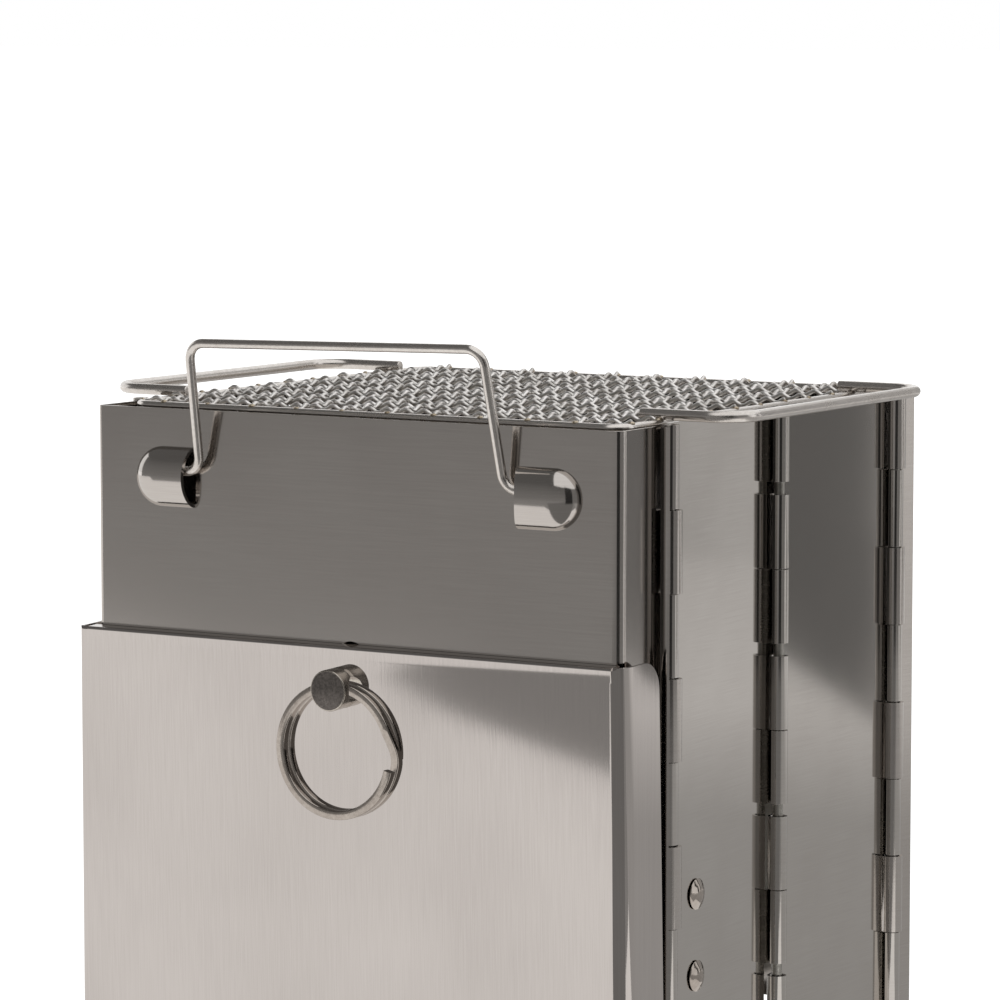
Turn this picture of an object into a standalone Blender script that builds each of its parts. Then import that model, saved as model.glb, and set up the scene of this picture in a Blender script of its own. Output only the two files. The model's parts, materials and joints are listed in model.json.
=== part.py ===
"""Folding camp stove in stainless sheet.

Two U-shaped shells are joined on each side by a pair of panels on piano hinges, which fold inwards
like bellows until the back shell lies behind the front one. A feed door hangs on the front, and a
woven grill lies in the open top.

The frame: +X right and -Y front as the stove faces the viewer, +Z up, the ground at z = 0.
"""
import math

import bmesh
import bpy
from mathutils import Matrix, Vector

MM = 0.001

# Clearances
FIT = 0.3 * MM  # between pieces that lie on each other
PIN_PLAY = 0.2 * MM  # between a hinge pin and the roll round it
KNUCKLE_PLAY = 0.3 * MM  # between neighbouring knuckles
NOTCH_PLAY = 0.5 * MM  # between a knuckle and the notch of the leaf opposite
CUT_REACH = 4.0 * MM  # how far a cutter reaches past the sheet that it cuts
HAIR = 0.04 * MM  # a roll or hem is set this far inside its sheet's faces, so that it runs in cleanly

# Shells
WIDTH = 149.0 * MM
HEIGHT = 190.0 * MM
SHELL_SHEET = 0.8 * MM
SHELL_BEND = 1.6 * MM  # outer radius of the upright bends
FRONT_FLANGE = 19.4 * MM  # front face to the first hinge pins
REAR_FLANGE = 11.68 * MM  # last hinge pins to the back face

# Bellows panels and their piano hinges
PANEL_SHEET = 0.65 * MM
PANEL_SPAN = 59.0 * MM  # pin to pin along a panel
PANEL_INSET = 2.18 * MM  # the middle pin stands this far inside the line of the outer two
PANEL_RISE = 0.4 * MM  # panel top above the shells' rim
KNUCKLE_PITCH = 20.0 * MM
KNUCKLE_COUNT = 8
PIN_RADIUS = 1.3 * MM
SHELL_ROLL_PLAY = 0.4 * MM  # the shells' rolls are looser, and stand wider than the panels'
MIDDLE_ROLL_PLAY = 0.25 * MM
MIDDLE_OPENING = 2.9 * MM  # every other joint of the middle hinge stands open by this much
ROLL_SWEEP = math.radians(290.0)
ROLL_STEPS = 10

# Carrying handle and the loops drawn out of the front shell
HANDLE_WIRE = 1.15 * MM  # radius
HANDLE_HALF_SPAN = 42.0 * MM
HANDLE_PIVOT_OUT = 2.0 * MM  # pivot in front of the shell's face
HANDLE_PIVOT_DROP = 15.0 * MM  # pivot below the rim
HANDLE_REACH = 32.8 * MM  # pivot to the bar
HANDLE_LEAN = math.radians(12.3)
HANDLE_CORNER = 4.0 * MM
HANDLE_FOOT = 9.5 * MM
LOOP_MOUTH = 2.5 * MM  # handle leg to the open end of its loop
LOOP_LENGTH = 18.0 * MM
LOOP_HALF_HEIGHT = 7.4 * MM
LOOP_PROUD = 4.5 * MM
LOOP_DROP = 16.7 * MM  # loop centre below the rim

# Feed opening and its door
OPENING_HALF_WIDTH = 55.0 * MM
OPENING_BOTTOM = 40.0 * MM
OPENING_TOP = 118.0 * MM
OPENING_CORNER = 6.0 * MM
DOOR_SHEET = 0.8 * MM
DOOR_HALF_WIDTH = 77.2 * MM
DOOR_DROP = 54.8 * MM  # door top below the rim
DOOR_LEAN = math.radians(1.35)
DOOR_PIN_HEIGHT = 6.0 * MM
DOOR_CHEEK = 16.4 * MM  # depth of the cheeks at the top
DOOR_CHEEK_FLARE = math.radians(0.45)
DOOR_CORNER = 7.0 * MM
DOOR_LIP = 7.0 * MM  # height of the hem's turned-down edge
DOOR_KNUCKLE = 20.0 * MM
DOOR_KNUCKLES = 7

# Catch, pull stud and split ring, on one upright line
LATCH_X = 2.0 * MM
CATCH_DROP = 56.9 * MM
CATCH_HOLE = 3.45 * MM
CATCH_RADIUS = 1.8 * MM
CATCH_SHANK = 1.0 * MM
CATCH_LOW = 1.0 * MM  # catch below the hole's centre, so that the hem hides it
STUD_DROP = 63.8 * MM
STUD_RADIUS = 5.0 * MM
STUD_LENGTH = 11.0 * MM
STUD_SHANK = 2.0 * MM
STUD_HOLE = 2.7 * MM
STUD_HOLE_OUT = 6.3 * MM
STUD_GROOVE = 0.45 * MM
STUD_EDGE = 0.5 * MM  # chamfer round the stud's face
RING_OUTER = 16.0 * MM
RING_WIRE_RADIAL = 1.3 * MM
RING_WIRE_AXIAL = 1.7 * MM
RING_COIL_GAP = 0.06 * MM

# Grill
GRILL_WIRE = 1.15 * MM  # radius of the edge wire
GRILL_HALF_WIDTH = 69.9 * MM
GRILL_FRONT = 7.5 * MM
GRILL_SINK = 0.15 * MM  # edge wire's centre below the rim
GRILL_CORNER = 5.0 * MM
GRILL_HANDLE_WIRE = 1.4 * MM
GRILL_HANDLE_REACH = 91.0 * MM
GRILL_HANDLE_FRONT = 25.5 * MM
GRILL_HANDLE_BACK = 125.0 * MM
GRILL_HANDLE_END = 66.0 * MM
GRILL_HANDLE_CORNER = 9.0 * MM
NET_THICK = 1.0 * MM
NET_GAPS = 12
NET_BAR = 2.6 * MM
NET_CORNER = 1.2 * MM  # the net's corner points are drawn in by this, to pass the wire's bends

# Grate ledges
LEDGE_DROP = 114.5 * MM  # upper rivet below the rim
RIVET_PITCH = 20.0 * MM
RIVET_BACK = 16.6 * MM  # rivets behind the first hinge pin
RIVET_HEAD = 3.8 * MM
RIVET_CROWN = 1.5 * MM
RIVET_SHANK = 2.0 * MM
LEDGE_SHEET = 1.0 * MM
LEDGE_LENGTH = 26.0 * MM
LEDGE_DEPTH = 12.0 * MM
LEDGE_MARGIN = 6.0 * MM
REAR_LEDGE_HALF = 42.0 * MM
REAR_LEDGE_DEPTH = 7.5 * MM
REAR_RIVET_X = 30.0 * MM

# Ash tray and fire grate
TRAY_HALF_WIDTH = 58.0 * MM
TRAY_WALL = 0.8 * MM
TRAY_HEIGHT = 22.0 * MM
TRAY_BACK = 6.5 * MM  # tray's back wall in front of the back shell's face
TRAY_TAB = 6.0 * MM
TRAY_TAB_HALF = 22.0 * MM
TRAY_CORNER = 5.0 * MM
TRAY_DOOR_MARGIN = 4.0 * MM
GRATE_SHEET = 1.0 * MM
GRATE_ROWS = 2
GRATE_SLOTS = 9
GRATE_SLOT = 2.6 * MM  # radius of a slot's round ends
GRATE_MARGIN = 10.0 * MM
GRATE_SHORT = 9.0 * MM  # the grate stops this far short of the tray's back, so that tongs can lift it

# Places that follow from the sizes above
HINGE_OFFSET = PIN_RADIUS + PIN_PLAY  # sheet face to pin centre
PIN_X = WIDTH / 2.0 + HINGE_OFFSET
PANEL_TILT = math.asin(PANEL_INSET / PANEL_SPAN)
FRONT_PIN_Y = FRONT_FLANGE
REAR_PIN_Y = FRONT_FLANGE + 2.0 * PANEL_SPAN * math.cos(PANEL_TILT)
DEPTH = REAR_PIN_Y + REAR_FLANGE
PANEL_TOP = HEIGHT + PANEL_RISE
PANEL_FOOT = PANEL_TOP - KNUCKLE_PITCH * KNUCKLE_COUNT
DOOR_PIN_OUT = FIT + DOOR_SHEET + HINGE_OFFSET
DOOR_LENGTH = (HEIGHT - DOOR_DROP - DOOR_PIN_HEIGHT) / math.cos(DOOR_LEAN)
STUD_UP = (HEIGHT - STUD_DROP - DOOR_PIN_HEIGHT) / math.cos(DOOR_LEAN)
CATCH_UP = (HEIGHT - CATCH_DROP - CATCH_LOW - DOOR_PIN_HEIGHT) / math.cos(DOOR_LEAN)
DOOR_FACE_AT_STUD = DOOR_PIN_OUT - HINGE_OFFSET + STUD_UP * math.sin(DOOR_LEAN)
FRONT_REACH = DOOR_FACE_AT_STUD + STUD_LENGTH * math.cos(DOOR_LEAN)
STOVE_Y = -(DEPTH + RIVET_CROWN - FRONT_REACH) / 2.0  # puts the middle of the whole depth at y = 0
TRAY_DOOR_HALF = TRAY_HALF_WIDTH + TRAY_DOOR_MARGIN
TRAY_TOP = TRAY_HEIGHT + FIT + GRATE_SHEET
GRILL_Z = HEIGHT - GRILL_SINK
GRILL_BACK = DEPTH - GRILL_FRONT


def clear_scene():
    """Remove whatever the file holds."""
    for item in list(bpy.data.objects):
        bpy.data.objects.remove(item, do_unlink=True)


def steel(name, colour, roughness, metallic=1.0):
    """A Principled material for one piece."""
    material = bpy.data.materials.new(name)
    material.use_nodes = True
    shader = material.node_tree.nodes["Principled BSDF"]
    shader.inputs["Base Color"].default_value = (*colour, 1.0)
    shader.inputs["Roughness"].default_value = roughness
    shader.inputs["Metallic"].default_value = metallic
    material.diffuse_color = (*colour, 1.0)
    return material


def pivot(name, place, parent=None, turn=(0.0, 0.0, 0.0)):
    """An empty on a joint's axis, which carries the pieces of one moving body."""
    empty = bpy.data.objects.new(name, None)
    bpy.context.collection.objects.link(empty)
    empty.parent = parent
    empty.location = place
    empty.rotation_euler = turn
    return empty


def add_piece(name, shape, carrier, material=None):
    """Make a shape an object on its carrier, shaded smooth with sharp edges kept."""
    bmesh.ops.recalc_face_normals(shape, faces=shape.faces)
    mesh = bpy.data.meshes.new(name)
    shape.to_mesh(mesh)
    shape.free()
    piece = bpy.data.objects.new(name, mesh)
    bpy.context.collection.objects.link(piece)
    piece.parent = carrier
    if material:
        mesh.materials.append(material)
    mesh.shade_smooth()
    mesh.set_sharp_from_angle(angle=math.radians(35.0))
    return piece


def combine(piece, shape, operation, name):
    """Join a shape to a piece, or cut it out, with a Boolean modifier."""
    tool = add_piece(f"{piece.name}_{name}", shape, piece.parent)
    tool.display_type = "WIRE"
    tool.hide_render = True
    tool.hide_viewport = True
    modifier = piece.modifiers.new(name, "BOOLEAN")
    modifier.operation = operation
    modifier.solver = "EXACT"
    modifier.object = tool


def arc(centre, radius, start, end, steps):
    """Points along an arc in a plane, both ends included."""
    points = []
    for step in range(steps + 1):
        angle = start + (end - start) * step / steps
        points.append((centre[0] + radius * math.cos(angle), centre[1] + radius * math.sin(angle)))
    return points


def strip(path, thickness):
    """Closed outline of a bent sheet, with one face on the path and the other to its right."""
    points = [Vector(point) for point in path]
    normals = []
    for first, second in zip(points, points[1:]):
        along = (second - first).normalized()
        normals.append(Vector((along.y, -along.x)))
    offset = []
    for index, point in enumerate(points):
        before = normals[max(index - 1, 0)]
        after = normals[min(index, len(normals) - 1)]
        offset.append(point + (before + after) * (thickness / (1.0 + before.dot(after))))
    return [tuple(point) for point in points + offset[::-1]]


def mirrored(points):
    """The same outline on the other side of the middle plane."""
    return [(-point[0], *point[1:]) for point in points]


def rounded_box(x_low, x_high, y_low, y_high, radius, steps=4):
    """Outline of a rectangle with round corners."""
    quarter = math.pi / 2.0
    corners = ((x_high - radius, y_high - radius), (x_low + radius, y_high - radius),
               (x_low + radius, y_low + radius), (x_high - radius, y_low + radius))
    outline = []
    for index, corner in enumerate(corners):
        outline += arc(corner, radius, index * quarter, (index + 1) * quarter, steps)
    return outline


def prism(shape, outline, low, high, axis="Z"):
    """Extrude a closed outline between two levels of an axis.

    The outline is in (x, y) for axis Z, in (y, z) for axis X and in (x, z) for axis Y.
    """
    def point(first, second, level):
        if axis == "Z":
            return (first, second, level)
        if axis == "X":
            return (level, first, second)
        return (first, level, second)

    verts = [shape.verts.new(point(*spot, low)) for spot in outline]
    face = shape.faces.new(verts)
    extruded = bmesh.ops.extrude_face_region(shape, geom=[face])["geom"]
    moved = [item for item in extruded if isinstance(item, bmesh.types.BMVert)]
    bmesh.ops.translate(shape, verts=moved, vec=Vector(point(0.0, 0.0, high - low)))
    return moved


def block(shape, low, high):
    """A box between two opposite corners."""
    prism(shape, [(low[0], low[1]), (high[0], low[1]), (high[0], high[1]), (low[0], high[1])],
          low[2], high[2])


def loft(shape, rings, closed=False):
    """Skin equal rings of points, with end caps unless the skin closes on itself."""
    rows = [[shape.verts.new(point) for point in ring] for ring in rings]
    pairs = list(zip(rows, rows[1:]))
    if closed:
        pairs.append((rows[-1], rows[0]))
    else:
        shape.faces.new(rows[0][::-1])
        shape.faces.new(rows[-1])
    for first, second in pairs:
        for index in range(len(first)):
            after = (index + 1) % len(first)
            shape.faces.new((first[index], first[after], second[after], second[index]))


def turned(shape, profile, place, axis, steps=16):
    """Revolve (radius, distance) points about an axis through a place. The ends lie on the axis."""
    turn = Vector((0.0, 0.0, 1.0)).rotation_difference(Vector(axis)).to_matrix()
    start = [shape.verts.new(Vector(place) + turn @ Vector((radius, 0.0, along)))
             for radius, along in profile]
    edges = [shape.edges.new(pair) for pair in zip(start, start[1:])]
    bmesh.ops.spin(shape, geom=start + edges, cent=place, axis=axis, steps=steps, angle=math.tau,
                   use_merge=True, use_duplicate=False)
    bmesh.ops.remove_doubles(shape, verts=shape.verts, dist=1e-7)


def round_bar(shape, start, end, radius, sides=12):
    """A straight round bar between two points."""
    along = (Vector(end) - Vector(start)).normalized()
    turn = Vector((0.0, 0.0, 1.0)).rotation_difference(along).to_matrix()
    ring = [turn @ Vector((*point, 0.0)) for point in arc((0.0, 0.0), radius, 0.0, math.tau, sides)[:-1]]
    loft(shape, [[Vector(end_point) + point for point in ring] for end_point in (start, end)])


def rounded_route(corners, radius, steps=5, closed=False):
    """Points of a wire's route, with each corner bent to a radius."""
    corners = [Vector(corner) for corner in corners]
    count = len(corners)
    route = []
    for index, corner in enumerate(corners):
        if not closed and index in (0, count - 1):
            route.append(corner)
            continue
        back = (corners[index - 1] - corner).normalized()
        ahead = (corners[(index + 1) % count] - corner).normalized()
        half = back.angle(ahead) / 2.0
        centre = corner + (back + ahead).normalized() * (radius / math.sin(half))
        first = corner + back * (radius / math.tan(half)) - centre
        last = corner + ahead * (radius / math.tan(half)) - centre
        turn = first.angle(last)
        axis = first.cross(last).normalized()
        for step in range(steps + 1):
            route.append(centre + Matrix.Rotation(turn * step / steps, 3, axis) @ first)
    return route


def wire(name, route, radius, carrier, material, closed=False, sides=2):
    """A round wire along a route: a curve with a round bevel and filled caps, made a mesh."""
    curve = bpy.data.curves.new(name, "CURVE")
    curve.dimensions = "3D"
    curve.bevel_depth = radius
    curve.bevel_resolution = sides
    curve.use_fill_caps = not closed
    spline = curve.splines.new("POLY")
    spline.points.add(len(route) - 1)
    for spot, point in zip(spline.points, route):
        spot.co = (*point, 1.0)
    spline.use_cyclic_u = closed
    guide = bpy.data.objects.new(f"{name}_route", curve)
    bpy.context.collection.objects.link(guide)
    bpy.context.view_layer.update()
    mesh = bpy.data.meshes.new_from_object(guide)
    bpy.data.objects.remove(guide, do_unlink=True)
    shape = bmesh.new()
    shape.from_mesh(mesh)
    bpy.data.meshes.remove(mesh)
    bmesh.ops.remove_doubles(shape, verts=shape.verts, dist=1e-7)
    return add_piece(name, shape, carrier, material)


def knuckles(first, below=0.0):
    """Heights held by every other knuckle, counted from the top of the panels.

    first is 0 or 1, the first knuckle held. below is the opening under an even knuckle and over
    an odd one, beyond the usual play.
    """
    held = []
    for index in range(first, KNUCKLE_COUNT, 2):
        top = PANEL_TOP - index * KNUCKLE_PITCH - KNUCKLE_PLAY / 2.0
        foot = PANEL_TOP - (index + 1) * KNUCKLE_PITCH + KNUCKLE_PLAY / 2.0
        if index % 2:
            top -= below / 2.0
        else:
            foot += below / 2.0
        if index == 0:
            top = PANEL_TOP
        if index == KNUCKLE_COUNT - 1:
            foot = PANEL_FOOT
        held.append((foot, top))
    return held


def spaces(held, low, high):
    """What is left of a range between the stretches held."""
    edges = [low]
    for foot, top in sorted(held):
        edges += [foot, top]
    edges.append(high)
    return [(foot, top) for foot, top in zip(edges[::2], edges[1::2]) if top - foot > KNUCKLE_PLAY / 2.0]


def roll_path(centre, bore, start, side=1.0):
    """Inner face of a roll that starts tangent to its sheet and goes round its pin."""
    return arc(centre, bore, start, start + side * ROLL_SWEEP, ROLL_STEPS)


def shell_path(flange):
    """Outer face of a shell in plan, from one side's roll round to the other's."""
    bore = HINGE_OFFSET + SHELL_ROLL_PLAY
    side = WIDTH / 2.0
    half = roll_path((PIN_X, flange), bore, math.pi, -1.0)[::-1]
    half.append((side, flange - bore - SHELL_ROLL_PLAY))
    half += arc((side - SHELL_BEND, SHELL_BEND), SHELL_BEND, 0.0, -math.pi / 2.0, 5)
    return half + mirrored(half)[::-1]


def notch_boxes(shape, gaps, edge, depth, reach):
    """Boxes that cut a leaf's edge back between its own knuckles, on both sides of the stove."""
    inner = WIDTH / 2.0 - SHELL_SHEET - SHELL_ROLL_PLAY - NOTCH_PLAY
    outer = PIN_X + HINGE_OFFSET + SHELL_ROLL_PLAY + SHELL_SHEET + NOTCH_PLAY
    for foot, top in gaps:
        for low, high in ((inner, outer), (-outer, -inner)):
            block(shape, (low, edge - depth, foot), (high, edge + reach, top))


def notch_depth(opposite_roll):
    """How far a leaf is cut back from the pin to pass the roll opposite."""
    return opposite_roll + NOTCH_PLAY


def dome_section(x, half_height, proud, base, centre_z, steps=10):
    """Half-oval section of a loop, closed behind by a base inside the sheet."""
    ring = [(x, -proud * math.sin(angle), centre_z + half_height * math.cos(angle))
            for angle in (math.pi * step / steps for step in range(1, steps))]
    return ring + [(x, base, centre_z - half_height), (x, base, centre_z + half_height)]


def add_loop(shape, wall, side, mouth, base):
    """Outer or inner form of one loop: half a capsule, open towards the middle of the stove."""
    centre_z = HEIGHT - LOOP_DROP
    start = HANDLE_HALF_SPAN + LOOP_MOUTH
    half_height = LOOP_HALF_HEIGHT - wall
    round_from = start + LOOP_LENGTH - LOOP_HALF_HEIGHT
    rings = [dome_section(side * (start - mouth), half_height, LOOP_PROUD - wall, base, centre_z)]
    for step in range(5):
        angle = math.radians(20.0) * step
        rings.append(dome_section(side * (round_from + half_height * math.sin(angle)),
                                  half_height * math.cos(angle), (LOOP_PROUD - wall) * math.cos(angle),
                                  base, centre_z))
    loft(shape, rings)


def front_shell(stove, material):
    """Front U with its two drawn loops, feed opening, catch hole and the outer rolls."""
    shape = bmesh.new()
    prism(shape, strip(shell_path(FRONT_PIN_Y), SHELL_SHEET), 0.0, HEIGHT)
    shell = add_piece("front_shell", shape, stove, material)

    loops = bmesh.new()
    cuts = bmesh.new()
    for side in (1.0, -1.0):
        add_loop(loops, 0.0, side, 0.0, SHELL_SHEET / 2.0)
        add_loop(cuts, SHELL_SHEET, side, FIT, 2.0 * SHELL_SHEET)
    combine(shell, loops, "UNION", "loops")

    depth = notch_depth(HINGE_OFFSET + PANEL_SHEET)
    notch_boxes(cuts, spaces(knuckles(1), -MM, PANEL_TOP + MM), FRONT_PIN_Y, depth, CUT_REACH)
    prism(cuts, rounded_box(-OPENING_HALF_WIDTH, OPENING_HALF_WIDTH, OPENING_BOTTOM, OPENING_TOP,
                            OPENING_CORNER), -SHELL_SHEET, 2.0 * SHELL_SHEET, "Y")
    hole = arc((LATCH_X, HEIGHT - CATCH_DROP), CATCH_HOLE, 0.0, math.tau, 24)[:-1]
    prism(cuts, hole, -SHELL_SHEET, 2.0 * SHELL_SHEET, "Y")
    combine(shell, cuts, "DIFFERENCE", "cuts")


def back_shell(carrier, material):
    """Back U, seen from its own right-hand pin: rolls, a doorway for the tray and two rivet holes."""
    outline = [(x - PIN_X, REAR_FLANGE - y) for x, y in strip(shell_path(REAR_FLANGE), SHELL_SHEET)]
    shape = bmesh.new()
    prism(shape, outline, 0.0, HEIGHT)
    shell = add_piece("back_shell", shape, carrier, material)

    cuts = bmesh.new()
    depth = notch_depth(HINGE_OFFSET + PANEL_SHEET)
    notch_boxes(cuts, spaces(knuckles(0), -MM, PANEL_TOP + MM), 0.0, CUT_REACH, depth)
    bmesh.ops.translate(cuts, verts=cuts.verts, vec=(-PIN_X, 0.0, 0.0))
    doorway = rounded_box(-TRAY_DOOR_HALF - PIN_X, TRAY_DOOR_HALF - PIN_X, -3.0 * TRAY_CORNER,
                          TRAY_TOP + TRAY_DOOR_MARGIN, TRAY_CORNER)
    prism(cuts, doorway, REAR_FLANGE - 2.0 * SHELL_SHEET, REAR_FLANGE + SHELL_SHEET, "Y")
    for side in (1.0, -1.0):
        hole = arc((side * REAR_RIVET_X - PIN_X, HEIGHT - LEDGE_DROP), RIVET_SHANK + FIT, 0.0,
                   math.tau, 12)[:-1]
        prism(cuts, hole, REAR_FLANGE - 2.0 * SHELL_SHEET, REAR_FLANGE + SHELL_SHEET, "Y")
    combine(shell, cuts, "DIFFERENCE", "cuts")


def panel_outline(near_play, far_play):
    """A right-hand panel in plan from its near pin at the origin to its far pin on +Y."""
    near_bore = HINGE_OFFSET + near_play
    far_bore = HINGE_OFFSET + far_play
    path = roll_path((0.0, PANEL_SPAN), far_bore, math.pi, -1.0)[::-1]
    path.append((-HINGE_OFFSET, PANEL_SPAN - far_bore - far_play - FIT))
    path.append((-HINGE_OFFSET, near_bore + near_play + FIT))
    path += roll_path((0.0, 0.0), near_bore, math.pi, 1.0)
    return strip(path, PANEL_SHEET)


def panel(name, carrier, material, side, near, far, rivets):
    """One bellows panel. near and far are (first knuckle held, roll play, notch depth, opening)."""
    outline = panel_outline(near[1], far[1])
    shape = bmesh.new()
    prism(shape, outline if side > 0 else mirrored(outline), PANEL_FOOT, PANEL_TOP)
    piece = add_piece(name, shape, carrier, material)

    cuts = bmesh.new()
    for edge, direction, (first, _, depth, opening) in ((0.0, 1.0, near), (PANEL_SPAN, -1.0, far)):
        ends = sorted((edge - direction * CUT_REACH, edge + direction * depth))
        for foot, top in spaces(knuckles(first, opening), PANEL_FOOT - MM, PANEL_TOP + MM):
            block(cuts, (-CUT_REACH, ends[0], foot), (CUT_REACH, ends[1], top))
    if rivets:
        for level in (0, 1):
            height = HEIGHT - LEDGE_DROP - level * RIVET_PITCH
            hole = arc((RIVET_BACK, height), RIVET_SHANK + FIT, 0.0, math.tau, 12)[:-1]
            prism(cuts, hole, -CUT_REACH, CUT_REACH, "X")
    combine(piece, cuts, "DIFFERENCE", "cuts")


def side_panels(side, front_carrier, rear_carrier, material):
    """Front and rear panel of one side, with the middle knuckles shared between them."""
    name = "right" if side > 0 else "left"
    shell_notch = notch_depth(HINGE_OFFSET + SHELL_ROLL_PLAY + SHELL_SHEET)
    middle_notch = notch_depth(HINGE_OFFSET + MIDDLE_ROLL_PLAY + PANEL_SHEET)
    panel(f"{name}_front_panel", front_carrier, material, side,
          (0, 0.0, shell_notch, 0.0), (0, MIDDLE_ROLL_PLAY, middle_notch, MIDDLE_OPENING), True)
    panel(f"{name}_rear_panel", rear_carrier, material, side,
          (1, MIDDLE_ROLL_PLAY, middle_notch, MIDDLE_OPENING), (1, 0.0, shell_notch, 0.0), False)


def hinge_pin(name, carrier, place, material):
    """Upright hinge pin, a little shorter than the panels."""
    shape = bmesh.new()
    round_bar(shape, (*place, PANEL_FOOT + FIT), (*place, PANEL_TOP - FIT), PIN_RADIUS)
    add_piece(name, shape, carrier, material)


def carry_handle(carrier, material):
    """Wire bail from its pivot line: feet out into the loops, legs up, one bar across."""
    up = Vector((0.0, -math.sin(HANDLE_LEAN), math.cos(HANDLE_LEAN))) * HANDLE_REACH
    foot = Vector((HANDLE_HALF_SPAN + HANDLE_FOOT, 0.0, 0.0))
    knee = Vector((HANDLE_HALF_SPAN, 0.0, 0.0))
    corners = [foot, knee, knee + up]
    corners += [Vector((-corner.x, corner.y, corner.z)) for corner in corners[::-1]]
    first = rounded_route(corners, 2.0 * HANDLE_WIRE)
    wide = rounded_route(corners, HANDLE_CORNER)
    steps = 6
    route = first[:1 + steps] + wide[1 + steps:1 + 3 * steps] + first[1 + 3 * steps:]
    wire("carry_handle", route, HANDLE_WIRE, carrier, material)


def door_side_profile():
    """Side view of the door as (y, z) from its pin: leaning front, flared cheek, rounded rear corner."""
    front = HINGE_OFFSET - CUT_REACH
    low = HINGE_OFFSET + DOOR_SHEET
    top_y = HINGE_OFFSET + DOOR_CHEEK
    foot_y = top_y + (DOOR_LENGTH - low) * math.tan(DOOR_CHEEK_FLARE)
    corner = arc((top_y - DOOR_CORNER, DOOR_LENGTH - DOOR_CORNER), DOOR_CORNER, 0.0, math.pi / 2.0, 6)
    return [(front, low), (foot_y, low)] + corner + [(front, DOOR_LENGTH)]


def feed_door(carrier, material):
    """Wide U over the feed opening: cheeks, hem along the top and rolled knuckles along the bottom."""
    depth = DOOR_CHEEK * 1.5
    half = [(DOOR_HALF_WIDTH, HINGE_OFFSET + depth)]
    half += arc((DOOR_HALF_WIDTH - SHELL_BEND, HINGE_OFFSET + SHELL_BEND), SHELL_BEND, 0.0,
                -math.pi / 2.0, 5)
    shape = bmesh.new()
    prism(shape, strip(half + mirrored(half)[::-1], DOOR_SHEET), 0.0, DOOR_LENGTH + MM)
    door = add_piece("feed_door", shape, carrier, material)

    trim = bmesh.new()
    prism(trim, door_side_profile(), -DOOR_HALF_WIDTH - MM, DOOR_HALF_WIDTH + MM, "X")
    combine(door, trim, "INTERSECT", "outline")

    extras = bmesh.new()
    roll = [(HINGE_OFFSET + HAIR, 3.0 * HINGE_OFFSET)]
    roll += roll_path((0.0, 0.0), HINGE_OFFSET + HAIR, 0.0, -1.0)
    roll = [(-y, z) for y, z in strip([(-y, z) for y, z in roll], DOOR_SHEET - 2.0 * HAIR)]
    span = DOOR_KNUCKLE * DOOR_KNUCKLES / 2.0
    prism(extras, roll, -span, span, "X")
    lip_y = DOOR_PIN_OUT - FIT + DOOR_LENGTH * math.sin(DOOR_LEAN)
    hem_top = DOOR_LENGTH - HAIR
    hem = [(HINGE_OFFSET + HAIR, hem_top - DOOR_SHEET), (HINGE_OFFSET + HAIR, hem_top), (lip_y, hem_top),
           (lip_y, hem_top - DOOR_LIP), (lip_y - DOOR_SHEET, hem_top - DOOR_LIP),
           (lip_y - DOOR_SHEET, hem_top - DOOR_SHEET)]
    inside = DOOR_HALF_WIDTH - DOOR_SHEET - FIT
    prism(extras, hem, -inside, inside, "X")
    combine(door, extras, "UNION", "edges")

    cuts = bmesh.new()
    for index in range(1, DOOR_KNUCKLES, 2):
        low = -span + index * DOOR_KNUCKLE - KNUCKLE_PLAY / 2.0
        block(cuts, (low, -CUT_REACH, -CUT_REACH),
              (low + DOOR_KNUCKLE + KNUCKLE_PLAY, CUT_REACH, notch_depth(HINGE_OFFSET + DOOR_SHEET)))
    for height, radius in ((STUD_UP, STUD_SHANK + FIT), (CATCH_UP, CATCH_SHANK + FIT)):
        start = 0.0 if height == STUD_UP else HINGE_OFFSET + DOOR_SHEET + FIT
        hole = arc((LATCH_X, height), radius, 0.0, math.tau, 12)[:-1]
        prism(cuts, hole, start, lip_y + MM, "Y")
    combine(door, cuts, "DIFFERENCE", "cuts")


def door_hinge(stove, carrier, material, pin_material):
    """Leaf on the shell with the knuckles between the door's, and the pin through both."""
    shape = bmesh.new()
    path = [(-HINGE_OFFSET, -DOOR_PIN_HEIGHT + SHELL_SHEET)]
    path += arc((0.0, 0.0), HINGE_OFFSET, math.pi, math.pi - ROLL_SWEEP, ROLL_STEPS)
    outline = [(-y - DOOR_PIN_OUT, z + DOOR_PIN_HEIGHT) for y, z in strip(
        [(y, z) for y, z in path[::-1]], DOOR_SHEET)]
    span = DOOR_KNUCKLE * DOOR_KNUCKLES / 2.0
    prism(shape, outline, -span, span, "X")
    leaf = add_piece("door_hinge_leaf", shape, stove, material)
    cuts = bmesh.new()
    for index in range(0, DOOR_KNUCKLES, 2):
        low = -span + index * DOOR_KNUCKLE - KNUCKLE_PLAY / 2.0
        block(cuts, (low, -DOOR_PIN_OUT - CUT_REACH,
                     DOOR_PIN_HEIGHT - notch_depth(HINGE_OFFSET + DOOR_SHEET)),
              (low + DOOR_KNUCKLE + KNUCKLE_PLAY, FIT, DOOR_PIN_HEIGHT + CUT_REACH))
    combine(leaf, cuts, "DIFFERENCE", "cuts")

    pin = bmesh.new()
    round_bar(pin, (-span + FIT, 0.0, 0.0), (span - FIT, 0.0, 0.0), PIN_RADIUS)
    add_piece("door_hinge_pin", pin, carrier, pin_material)


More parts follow.
